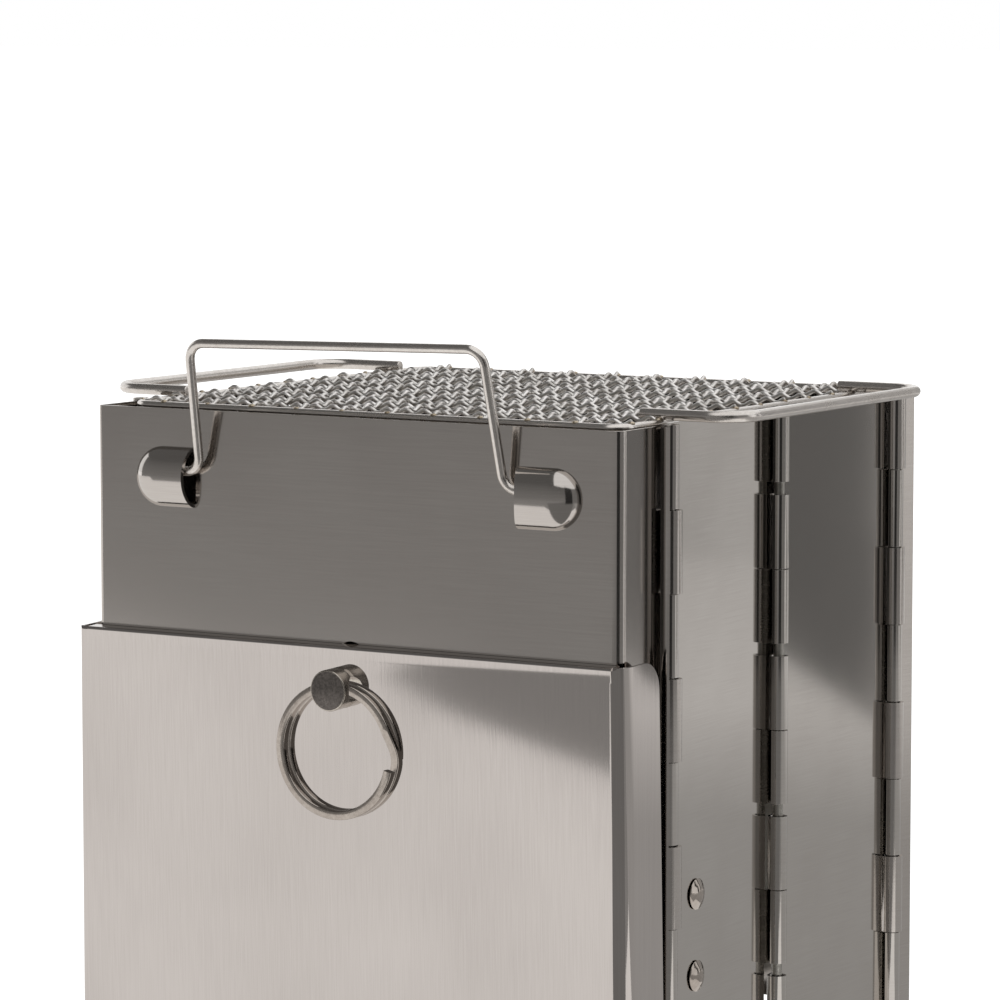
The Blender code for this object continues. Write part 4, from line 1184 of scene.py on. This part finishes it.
@dataclass
class Handle:
    """The carrying handle: one wire bail whose feet turn out into the loops."""

    plan: Plan
    finishes: Finishes
    wires: WireTree
    radius: float = 1.15 * MM
    half_span: float = 43.4 * MM
    top_half_span: float = 41.7 * MM
    pivot_out: float = 2.0 * MM
    pivot_drop: float = 15.0 * MM
    reach: float = 32.8 * MM
    right_rise: float = 1.5 * MM
    lean: float = math.radians(12.3)
    corner: float = 4.5 * MM
    knee: float = 4.2 * MM
    foot: float = 9.5 * MM
    edge: float = 0.25 * MM

    def build(self) -> bpy.types.Object:
        """Build the bail.

        Returns:
            The piece.
        """
        up = Vector((0.0, -math.sin(self.lean), math.cos(self.lean)))
        knee, toe = self.half_span, self.half_span + self.foot
        top = self.top_half_span
        corners = [(toe, 0.0, 0.0), (knee, 0.0, 0.0),
                   Vector((top, 0.0, 0.0)) + up * (self.reach + self.right_rise),
                   Vector((-top, 0.0, 0.0)) + up * self.reach, (-knee, 0.0, 0.0), (-toe, 0.0, 0.0)]
        radii = [0.0, self.knee, self.corner, self.corner, self.knee, 0.0]
        route = rounded_route(corners, radii)
        place = self.plan.stove() @ Matrix.Translation((0.0, -self.pivot_out,
                                                        self.plan.height - self.pivot_drop))
        piece = self.wires.sweep("handle_bail", route, self.radius, self.finishes.wire, place, sides=28)
        softened(piece, self.edge)
        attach(piece, "handle")
        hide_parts("carry_handle")
        return piece


@dataclass
class Door:
    """The feed door with its hem and hinge, pull stud and split ring."""

    plan: Plan
    finishes: Finishes
    wires: WireTree
    sheet: float = 0.8 * MM
    half_width: float = 77.2 * MM
    left_more: float = 1.5 * MM
    left_spread: float = 0.017
    drop: float = 54.8 * MM
    lean: float = math.radians(1.35)
    pin_height: float = 6.0 * MM
    cheek: float = 16.4 * MM
    flare: float = math.radians(0.45)
    corner: float = 7.0 * MM
    lip: float = 7.0 * MM
    hem_nose: float = 0.75 * MM
    hem_swell: float = 0.17 * MM
    hem_height: float = 3.6 * MM
    hinge_half: float = 70.0 * MM
    hinge_knuckles: int = 7
    edge: float = 0.14 * MM
    reach: float = 3.0 * MM
    latch_x: float = 2.0 * MM
    stud_drop: float = 63.8 * MM
    stud_radius: float = 5.0 * MM
    stud_length: float = 11.0 * MM
    stud_shank: float = 2.0 * MM
    stud_hole: float = 3.0 * MM
    stud_hole_out: float = 6.3 * MM
    stud_edge: float = 0.12 * MM
    ring_outer: float = 16.6 * MM
    ring_radial: float = 2.2 * MM
    ring_axial: float = 2.2 * MM
    ring_gap: float = 0.75 * MM
    ring_slide: float = 0.3 * MM
    ring_start: float = math.radians(14.0)

    def __post_init__(self) -> None:
        """Work out the places that follow from the sizes."""
        plan = self.plan
        self.pin_out = plan.fit + self.sheet + plan.hinge_offset
        self.length = (plan.height - self.drop - self.pin_height) / math.cos(self.lean)
        self.stud_up = (plan.height - self.stud_drop - self.pin_height) / math.cos(self.lean)

    def frame(self) -> Matrix:
        """Frame of the door, at its pin, leaning with it."""
        return (self.plan.stove() @ Matrix.Translation((0.0, -self.pin_out, self.pin_height))
                @ Matrix.Rotation(self.lean, 4, "X"))

    def cover(self) -> bpy.types.Object:
        """Build the door's folded sheet.

        Returns:
            The piece.
        """
        plan = self.plan
        offset = plan.hinge_offset
        halves = []
        for width, bend in ((self.half_width, plan.door_bend), (self.half_width + self.left_more,
                                                                 plan.left_bend)):
            halves.append([(width, offset + self.cheek * 1.5)]
                          + arc((width - bend, offset + bend), bend, 0.0, -math.pi / 2.0, 10))
        shape = bmesh.new()
        prism(shape, strip(halves[0] + mirrored(halves[1])[::-1], self.sheet), 0.0, self.length + MM)
        place = self.frame()
        door = new_object("door_cover", shape, place)

        low = offset + self.sheet
        rear = offset + self.cheek
        foot = rear + (self.length - low) * math.tan(self.flare)
        side = [(offset - 2.0 * MM, low), (foot, low)]
        side += arc((rear - self.corner, self.length - self.corner), self.corner, 0.0, math.pi / 2.0, 14)
        side += [(offset + self.hem_nose, self.length - 0.05 * MM),
                 (offset - 2.0 * MM, self.length - self.hem_nose - 2.05 * MM)]
        trim = bmesh.new()
        prism(trim, side, -self.half_width - 3.0 * MM, self.half_width + MM, "X")
        tool = new_object("door_trim", trim, place)
        modifier = door.modifiers.new("trim", "BOOLEAN")
        modifier.operation = "INTERSECT"
        modifier.solver = "EXACT"
        modifier.object = tool
        settled(door)
        bpy.data.objects.remove(tool, do_unlink=True)

        hair = 0.02 * MM
        extras = bmesh.new()
        roll = [(offset + hair, 3.0 * offset)] + roll_path((0.0, 0.0), offset + hair, 0.0, -1.0)
        roll = [(-y, z) for y, z in strip([(-y, z) for y, z in roll], self.sheet - 2.0 * hair)]
        prism(extras, roll, -self.hinge_half, self.hinge_half, "X")
        lip_y = self.pin_out - plan.fit + self.length * math.sin(self.lean)
        top = self.length - hair
        nose = (offset - self.hem_swell + self.hem_nose, top - self.hem_nose)
        hem = [(offset + hair, top - self.hem_height)] + arc(nose, self.hem_nose, math.pi, math.pi / 2.0, 8)
        hem += [(lip_y, top), (lip_y, top - self.lip), (lip_y - self.sheet, top - self.lip),
                (lip_y - self.sheet, top - self.sheet), (offset + self.sheet - hair, top - self.sheet),
                (offset + self.sheet - hair, top - self.hem_height)]
        prism(extras, hem, -(self.half_width - self.sheet - plan.fit),
              self.half_width - 0.85 * plan.door_bend, "X")
        cuts = bmesh.new()
        for index in range(1, self.hinge_knuckles, 2):
            start = -self.hinge_half + index * plan.knuckle_pitch - plan.knuckle_play / 2.0
            block(cuts, (start, -self.reach, -self.reach),
                  (start + plan.knuckle_pitch + plan.knuckle_play, self.reach,
                   offset + self.sheet + plan.notch_play))
        worked(door, extras, cuts, place, self.edge, self.finishes.door)
        # The left side, past the hinge's end, leans out towards the foot
        top = place @ Vector((0.0, 0.0, self.length))
        for vert in door.data.vertices:
            if vert.co.x < -self.hinge_half:
                vert.co.x -= (top.z - vert.co.z) * self.left_spread
        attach(door, "door")
        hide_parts("feed_door")
        return door

    def stud(self) -> bpy.types.Object:
        """Build the pull stud.

        Returns:
            The piece.
        """
        offset = self.plan.hinge_offset
        face = offset - self.plan.fit
        back = offset + self.sheet + self.plan.fit
        tip = offset - self.stud_length
        hole = offset - self.stud_hole_out
        radius = self.stud_radius
        profile = [(0.0, tip), (radius - 0.35 * MM, tip), (radius - 0.12 * MM, tip + 0.1 * MM),
                   (radius, tip + 0.35 * MM), (radius, hole - 0.9 * MM),
                    (radius - 0.12 * MM, hole - 0.6 * MM),
                   (radius - 0.3 * MM, hole - 0.1 * MM), (radius - 0.3 * MM, hole + 0.1 * MM),
                   (radius - 0.12 * MM, hole + 0.6 * MM), (radius, hole + 0.9 * MM),
                   (radius, face - 0.2 * MM), (radius - 0.2 * MM, face), (self.stud_shank, face),
                   (self.stud_shank, back), (1.7 * self.stud_shank, back),
                   (1.3 * self.stud_shank, back + 0.8 * MM), (0.0, back + MM)]
        shape = bmesh.new()
        turned(shape, profile, (self.latch_x, 0.0, self.stud_up), (0.0, 1.0, 0.0), 64)
        piece = new_object("stud", shape, self.frame())
        bore = bmesh.new()
        prism(bore, arc((hole, self.stud_up), self.stud_hole, 0.0, math.tau, 40)[:-1],
              self.latch_x - 2.0 * radius, self.latch_x + 2.0 * radius, "X")
        worked(piece, None, bore, self.frame(), self.stud_edge, self.finishes.stud)
        piece.data.materials.append(self.finishes.stud_face)
        # The cut end at the stud's tip has its own finish: rough, with a dark colour that is painted shade
        front = min(vert.co.y for vert in piece.data.vertices)
        for cut in piece.data.polygons:
            if cut.normal.y < -0.97 and cut.center.y < front + 0.7 * MM:
                cut.material_index = 1
        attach(piece, "door")
        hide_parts("pull_stud")
        piece.visible_glossy = False
        return piece

    def ring(self) -> bpy.types.Object:
        """Build the split ring: two turns of flat wire and the short step between them.

        Returns:
            The piece.
        """
        inner = self.ring_outer - self.ring_radial
        half_axial = self.ring_axial + self.ring_gap / 2.0
        seat = math.sqrt(self.stud_hole ** 2 - half_axial ** 2) - self.plan.fit / 2.0
        drop = inner + seat - (inner - math.sqrt(inner ** 2 - self.stud_radius ** 2))
        pitch = self.ring_axial + self.ring_gap
        # The wire steps over from its first turn to its second between these angles
        first, last = math.radians(322.0), math.radians(357.0)
        whole = math.radians(710.0)
        corner = 0.35 * MM
        middle = (inner + self.ring_outer) / 2.0
        section = rounded_box(-self.ring_radial / 2.0, self.ring_radial / 2.0, -self.ring_axial / 2.0,
                              self.ring_axial / 2.0, corner, 4)
        rings = []
        count = 300
        for index in range(count + 1):
            angle = whole * index / count
            share = min(max((angle - first) / (last - first), 0.0), 1.0)
            share = share * share * (3.0 - 2.0 * share)
            shift = pitch * (share - 0.5)
            around = angle + self.ring_start
            rings.append([((middle + out) * math.cos(around), shift + along,
                           -drop - (middle + out) * math.sin(around)) for out, along in section])
        shape = bmesh.new()
        loft(shape, rings)
        hole = (self.latch_x + self.ring_slide, self.plan.hinge_offset - self.stud_hole_out, self.stud_up)
        place = self.frame() @ Matrix.Translation(hole) @ Matrix.Rotation(-self.lean, 4, "X")
        piece = new_object("ring_split", shape, place)
        piece.data.materials.append(self.finishes.nickel)
        piece.data.shade_smooth()
        piece.data.set_sharp_from_angle(angle=math.radians(50.0))
        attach(piece, "ring")
        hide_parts("split_ring")
        piece.visible_glossy = False
        return piece

    def build(self) -> list[bpy.types.Object]:
        """Build the door, its pin, stud and ring.

        Returns:
            The pieces.
        """
        span = self.hinge_half - self.plan.fit
        route = [Vector((-span + 2.0 * span * step / 8, 0.0, 0.0)) for step in range(9)]
        pin = self.wires.sweep("pin_door", route, self.plan.pin_radius, self.finishes.pin, self.frame(),
                               sides=24)
        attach(pin, "door")
        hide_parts("door_hinge_pin")
        return [self.cover(), pin, self.stud(), self.ring()]


@dataclass
class Grill:
    """The grill: woven net on its edge wire, with a handle wire at each side."""

    plan: Plan
    finishes: Finishes
    wires: WireTree
    radius: float = 1.15 * MM
    half_width: float = 69.9 * MM
    front: float = 7.5 * MM
    sink: float = 0.15 * MM
    corner: float = 5.0 * MM
    handle_radius: float = 1.4 * MM
    right_reach: float = 91.0 * MM
    left_reach: float = 89.7 * MM
    handle_front: float = 25.5 * MM
    handle_back: float = 125.0 * MM
    handle_end: float = 66.0 * MM
    right_end: float = 64.6 * MM
    handle_corner: float = 9.0 * MM
    pitch_across: float = 13.09 * MM
    pitch_along: float = 12.75 * MM
    crimps: int = 5
    first_crossing: Point = (-60.7 * MM, 11.7 * MM)
    wires_across: int = 10
    wires_along: int = 10
    net_radius: float = 0.52 * MM
    net_lift: float = 0.52 * MM
    net_level: float = 1.12 * MM
    net_samples: float = 5.0
    bead_radius: float = 0.85 * MM
    bead_flatness: Place = (1.0, 1.0, 0.6)
    handle_edge: float = 0.35 * MM

    def frame(self) -> Matrix:
        """Frame of the grill, at the middle of its edge wire."""
        return self.plan.stove() @ Matrix.Translation((0.0, 0.0, self.plan.height - self.sink))

    def dress(self, piece: bpy.types.Object, slot: str, *nodes: str) -> bpy.types.Object:
        """Let a piece ride on the grill and stand for its nodes.

        Args:
            piece: The piece.
            slot: Not used.
            nodes: Nodes that it stands for, if any.

        Returns:
            The piece.
        """
        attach(piece, "grill")
        if nodes:
            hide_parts(*nodes)
        return piece

    def edge_route(self) -> list[Vector]:
        """Centre line of the edge wire.

        Returns:
            The route's points.
        """
        back = self.plan.depth - self.front
        half = self.half_width
        corners = [(half, self.front, 0.0), (half, back, 0.0), (-half, back, 0.0), (-half, self.front, 0.0)]
        return rounded_route(corners, self.corner, 10, True)

    def net(self) -> list[bpy.types.Object]:
        """Weave the net: one piece for each family of wires.

        Returns:
            The two pieces.
        """
        tree = WeaveTree().tree
        x, y = self.first_crossing
        back = self.plan.depth - self.front
        across, along = Vector((1.0, 0.0, 0.0)), Vector((0.0, 1.0, 0.0))
        crossing = self.frame() @ Vector((x, y, self.net_level))
        crimp = (self.pitch_across / self.crimps, self.pitch_along / self.crimps, 1.0)
        families = (("net_weft", across, 2.0 * self.half_width, self.half_width + x, along * self.pitch_along,
                     self.wires_along, self.net_lift),
                    ("net_warp", along, back - self.front, y - self.front, across * self.pitch_across,
                     self.wires_across, -self.net_lift))
        made = []
        for name, run, length, before, step, count, lift in families:
            piece = new_object(name, bmesh.new(), None, False)
            through_nodes(piece, tree, {
                "Start": tuple(crossing - run * before), "Along": tuple(run * length),
                "Across": tuple(step), "Wires": count, "Samples": int(length / crimp[0] * self.net_samples),
                "Crimp": crimp, "Lift": lift, "Radius": self.net_radius, "Sides": 12,
                "Crossing": tuple(crossing), "Finish": self.finishes.net})
            made.append(piece)
        self.dress(made[0], "net_wire", "grill_net")
        self.dress(made[1], "net_wire", "grill_net")
        return made

    def beads(self) -> bpy.types.Object:
        """Set a weld nugget at each end of the net's wires, on top of the edge wire.

        Returns:
            The piece.
        """
        x, y = self.first_crossing
        back = self.plan.depth - self.front
        level = 0.9 * self.radius
        spots = [(x + index * self.pitch_across, end, level) for index in range(self.wires_across)
                 for end in (self.front, back)]
        spots += [(end, y + index * self.pitch_along, level) for index in range(self.wires_along)
                  for end in (-self.half_width, self.half_width)]
        shape = bmesh.new()
        for spot in spots:
            shape.verts.new(self.frame() @ Vector(spot))
        piece = new_object("net_welds", shape, None, False)
        through_nodes(piece, NuggetTree().tree, {
            "Radius": self.bead_radius, "Flatness": self.bead_flatness, "Finish": self.finishes.weld})
        return self.dress(piece, "net_wire")

    def build(self) -> list[bpy.types.Object]:
        """Build the edge wire, handles, net and welds.

        Returns:
            The pieces.
        """
        place = self.frame()
        made = [self.dress(self.wires.sweep("grill_rim", self.edge_route(), self.radius,
                                            self.finishes.wire, place, True, 24),
                           "bright_wire", "grill_edge_wire")]
        level = self.plan.panel_rise + self.sink + self.plan.fit + self.handle_radius
        for start, end, reach, name in ((self.right_end, self.handle_end, self.right_reach, "right"),
                                        (-self.handle_end, -self.handle_end, -self.left_reach, "left")):
            corners = [(start, self.handle_front, level), (reach, self.handle_front, level),
                       (reach, self.handle_back, level), (end, self.handle_back, level)]
            piece = self.wires.sweep(f"grill_grip_{name}", rounded_route(corners, self.handle_corner, 14),
                                     self.handle_radius, self.finishes.wire, place, sides=28)
            softened(piece, self.handle_edge)
            made.append(self.dress(piece, "bright_wire", f"{name}_grill_handle"))
        made += self.net()
        made.append(self.beads())
        return made


def around(distance: float, start: float, end: float) -> tuple[Point, ...]:
    """Points round the stove's middle, from one bearing to another.

    Args:
        distance: How far off they are.
        start: First bearing in degrees, 0 in front of the stove and 90 on its right.
        end: Last bearing.

    Returns:
        Nine points.
    """
    bearings = [math.radians(start + (end - start) * step / 8) for step in range(9)]
    return tuple((distance * math.sin(bearing), -distance * math.cos(bearing)) for bearing in bearings)


@dataclass(frozen=True)
class Flag:
    """A large studio card that only shows in reflections."""

    name: str
    foot: tuple[Point, ...]
    level: float
    rise: Place
    grey_near: float
    grey_far: float
    tint: str = "#FFFDFB"

    def build(self) -> bpy.types.Object:
        """Set the card up, from its foot line along its rise.

        Returns:
            The card.
        """
        shape = bmesh.new()
        rise = Vector(self.rise)
        lows = [Vector((x, y, self.level)) for x, y in self.foot]
        start = lows[0].dot(rise.normalized())
        rows = [[shape.verts.new(spot) for spot in lows], [shape.verts.new(spot + rise) for spot in lows]]
        for index in range(len(lows) - 1):
            shape.faces.new((rows[0][index], rows[0][index + 1], rows[1][index + 1], rows[1][index]))
        card = new_object(self.name, shape, None, False)
        material = bpy.data.materials.new(self.name)
        material.use_nodes = True
        tree = material.node_tree
        tree.nodes.clear()
        spot = add_node(tree, "ShaderNodeTexCoord").outputs["Object"]
        along = add_node(tree, "ShaderNodeVectorMath", {0: spot, 1: tuple(rise.normalized())},
                         operation="DOT_PRODUCT")
        grey = add_node(tree, "ShaderNodeMapRange", {
            "Value": along.outputs["Value"], "From Min": start, "From Max": start + rise.length,
            "To Min": self.grey_near, "To Max": self.grey_far})
        glow = add_node(tree, "ShaderNodeEmission", {"Color": linear(self.tint), "Strength": grey.outputs[0]})
        add_node(tree, "ShaderNodeOutputMaterial", {"Surface": glow.outputs[0]})
        material.cycles.emission_sampling = "NONE"
        card.data.materials.append(material)
        card.visible_camera = False
        card.visible_diffuse = False
        card.visible_shadow = False
        return card


@dataclass
class Studio:
    """Camera, pale floor, white surroundings, soft lamps and grey cards round the stove."""

    azimuth: float = math.radians(31.224)
    elevation: float = math.radians(5.778)
    lens: float = 174.14
    camera_place: Place = (0.6285, -1.0370, 0.2871)
    floor_half: float = 30.0
    floor_fade: Point = (0.3, 1.3)
    floor_glow: Point = (0.55, 1.0)
    surrounding_light: float = 0.35
    flags: tuple[Flag, ...] = (
        Flag("mat_pale", ((-2.5, -2.5), (2.5, -2.5)), 0.002, (0.0, 5.0, 0.0), 0.98, 0.98),
        Flag("mat_in_front", ((-2.416, -2.30), (-0.60, -0.80), (-0.392, -0.76), (-0.372, -0.665),
                              (-0.309, -0.608), (2.348, 1.228)), 0.004, (1.705, -2.468, 0.0), 0.31, 0.29),
        Flag("mat_by_corner", ((0.072, -0.09), (-0.3235, -1.008)), 0.005, (1.377, -0.593, 0.0), 0.21, 0.21),
        Flag("mat_rear_near", ((-0.753, 0.597), (1.109, -0.479)), 0.006, (0.195, 0.338, 0.0), 0.42, 0.44),
        Flag("mat_rear_middle", ((-0.558, 0.935), (1.304, -0.141)), 0.006, (0.135, 0.234, 0.0), 0.44, 0.71),
        Flag("mat_rear_far", ((-0.423, 1.169), (1.439, 0.093)), 0.006, (0.325, 0.563, 0.0), 0.71, 0.64),
        Flag("card_in_front", around(2.2, -75.0, 30.0), 0.0, (0.0, 0.0, 1.4), 0.26, 0.13),
        Flag("card_black", around(0.9, 30.0, 60.0), 0.0, (0.0, 0.0, 0.7), 0.03, 0.05),
        Flag("card_brown", around(0.95, 60.0, 97.0), 0.0, (0.0, 0.0, 0.7), 0.22, 0.22),
        Flag("card_edge", around(1.0, 121.0, 129.0), 0.0, (0.0, 0.0, 0.7), 0.06, 0.06),
        Flag("card_strip", around(1.3, 129.0, 136.0), 0.0, (0.0, 0.0, 0.9), 0.74, 0.70),
        Flag("card_right", ((0.80, 1.035), (0.565, 0.777), (0.418, 0.616)), 0.0, (0.0, 0.0, 0.9),
             0.155, 0.155),
        Flag("card_rear_grey", around(1.34, 148.0, 152.1), 0.0, (0.0, 0.0, 0.9), 0.42, 0.36),
        Flag("card_rear_pale", around(1.34, 152.1, 156.0), 0.0, (0.0, 0.0, 0.9), 0.60, 0.50),
        Flag("card_rear", around(1.34, 156.0, 190.0), 0.0, (0.0, 0.0, 0.9), 0.40, 0.40),
        Flag("card_over_left", ((-2.2, -2.3), (-2.2, 0.9)), 1.4, (1.95, 0.0, 0.0), 0.13, 0.13),
    )

    def camera(self) -> None:
        """Set the camera where the photograph was taken from."""
        data = bpy.data.cameras.new("camera")
        data.lens = self.lens
        data.sensor_width = 36.0
        camera = bpy.data.objects.new("camera", data)
        bpy.context.collection.objects.link(camera)
        sin_a, cos_a = math.sin(self.azimuth), math.cos(self.azimuth)
        sin_e, cos_e = math.sin(self.elevation), math.cos(self.elevation)
        right = Vector((cos_a, sin_a, 0.0))
        up = Vector((-sin_e * sin_a, sin_e * cos_a, cos_e))
        back = Vector((sin_a * cos_e, -cos_a * cos_e, sin_e))
        turn = Matrix((right, up, back)).transposed().to_4x4()
        camera.matrix_world = Matrix.Translation(self.camera_place) @ turn
        bpy.context.scene.camera = camera

    def floor(self) -> None:
        """Lay a plain white floor that keeps the stove's shadow and is evenly white further off."""
        shape = bmesh.new()
        bmesh.ops.create_grid(shape, x_segments=1, y_segments=1, size=self.floor_half)
        floor = new_object("floor", shape, None, False)
        material = bpy.data.materials.new("white_floor_paint")
        material.use_nodes = True
        tree = material.node_tree
        tree.nodes.clear()
        paint = add_node(tree, "ShaderNodeBsdfDiffuse", {"Color": (0.8, 0.8, 0.8, 1.0)})
        place = add_node(tree, "ShaderNodeTexCoord").outputs["Object"]
        away = add_node(tree, "ShaderNodeVectorMath", {0: place}, operation="LENGTH")
        level = add_node(tree, "ShaderNodeMapRange", {
            "Value": away.outputs["Value"], "From Min": self.floor_fade[0], "From Max": self.floor_fade[1],
            "To Min": self.floor_glow[0], "To Max": self.floor_glow[1]})
        glow = add_node(tree, "ShaderNodeEmission", {"Strength": level.outputs[0]})
        both = add_node(tree, "ShaderNodeAddShader", {0: paint.outputs[0], 1: glow.outputs[0]})
        add_node(tree, "ShaderNodeOutputMaterial", {"Surface": both.outputs[0]})
        material.cycles.emission_sampling = "NONE"
        floor.data.materials.append(material)

    def surroundings(self) -> None:
        """Make the surroundings white to the eye and in reflections, and plain soft light elsewhere."""
        world = bpy.data.worlds.new("white_studio")
        world.use_nodes = True
        tree = world.node_tree
        tree.nodes.clear()
        ray = add_node(tree, "ShaderNodeLightPath")
        seen = add_node(tree, "ShaderNodeMath", {0: ray.outputs["Is Camera Ray"],
                                                 1: ray.outputs["Is Glossy Ray"]}, operation="MAXIMUM")
        shown = add_node(tree, "ShaderNodeMath", {0: seen.outputs[0],
                                                  1: ray.outputs["Is Transmission Ray"]},
                         operation="MAXIMUM")
        level = add_node(tree, "ShaderNodeMapRange", {"Value": shown.outputs[0], "To Max": 1.0,
                                                      "To Min": self.surrounding_light})
        back = add_node(tree, "ShaderNodeBackground", {"Color": (1.0, 1.0, 1.0, 1.0),
                                                       "Strength": level.outputs[0]})
        add_node(tree, "ShaderNodeOutputWorld", {"Surface": back.outputs[0]})
        bpy.context.scene.world = world

    def lamp(self, name: str, place: Place, aim: Place, size: float, power: float) -> None:
        """Hang one square soft lamp.

        Args:
            name: Name of the lamp.
            place: Where it hangs.
            aim: What it points at.
            size: Length of its sides.
            power: Its power in watts.
        """
        data = bpy.data.lights.new(name, "AREA")
        data.size = size
        data.energy = power
        lamp = bpy.data.objects.new(name, data)
        bpy.context.collection.objects.link(lamp)
        lamp.location = place
        lamp.visible_glossy = False
        lamp.rotation_euler = (Vector(aim) - Vector(place)).to_track_quat("-Z", "Y").to_euler()

    def build(self) -> None:
        """Set up the whole studio."""
        self.camera()
        self.floor()
        self.surroundings()
        self.lamp("lamp_top", (0.2, -0.3, 1.5), (0.0, 0.0, 0.1), 1.2, 14.0)
        self.lamp("lamp_left", (-1.3, -0.6, 1.0), (0.0, 0.0, 0.1), 0.7, 5.0)
        for flag in self.flags:
            flag.build()
        bpy.context.scene.view_settings.view_transform = "Standard"


def dress_nodes(frame: dict[str, Any], finishes: Finishes) -> None:
    """Give the inner pieces that keep their solids their finishes.

    Args:
        frame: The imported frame.
        finishes: The stove's finishes.
    """
    choice = {"ash_tray": finishes.inner, "fire_grate": finishes.inner, "door_hinge_leaf": finishes.shell,
              "door_catch": finishes.nickel, "rear_grate_ledge": finishes.inner,
              "right_grate_ledge": finishes.inner, "left_grate_ledge": finishes.inner}
    for name, material in choice.items():
        node = frame["nodes"][name]
        if not node.data.materials:
            node.data.materials.append(material)
        for slot in node.material_slots:
            slot.material = material
        log.info("kept %s with %s", name, material.name)


def main() -> None:
    """Dress the frame, one sub-assembly after another, and note its sizes."""
    logging.basicConfig(level=logging.INFO, format="%(message)s")
    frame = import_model()
    Studio().build()
    finishes = Finishes()
    wires = WireTree()
    plan = Plan()
    shells = Shells(plan, finishes)
    made = [shells.front(), shells.rear()]
    made += Bellows(plan, finishes, wires).build()
    made.append(Handle(plan, finishes, wires).build())
    made += Door(plan, finishes, wires).build()
    made += Grill(plan, finishes, wires).build()
    dress_nodes(frame, finishes)
    for piece in made:
        log.info("made %s: %d faces", piece.name, len(piece.data.polygons))


if __name__ == "__main__":
    main()
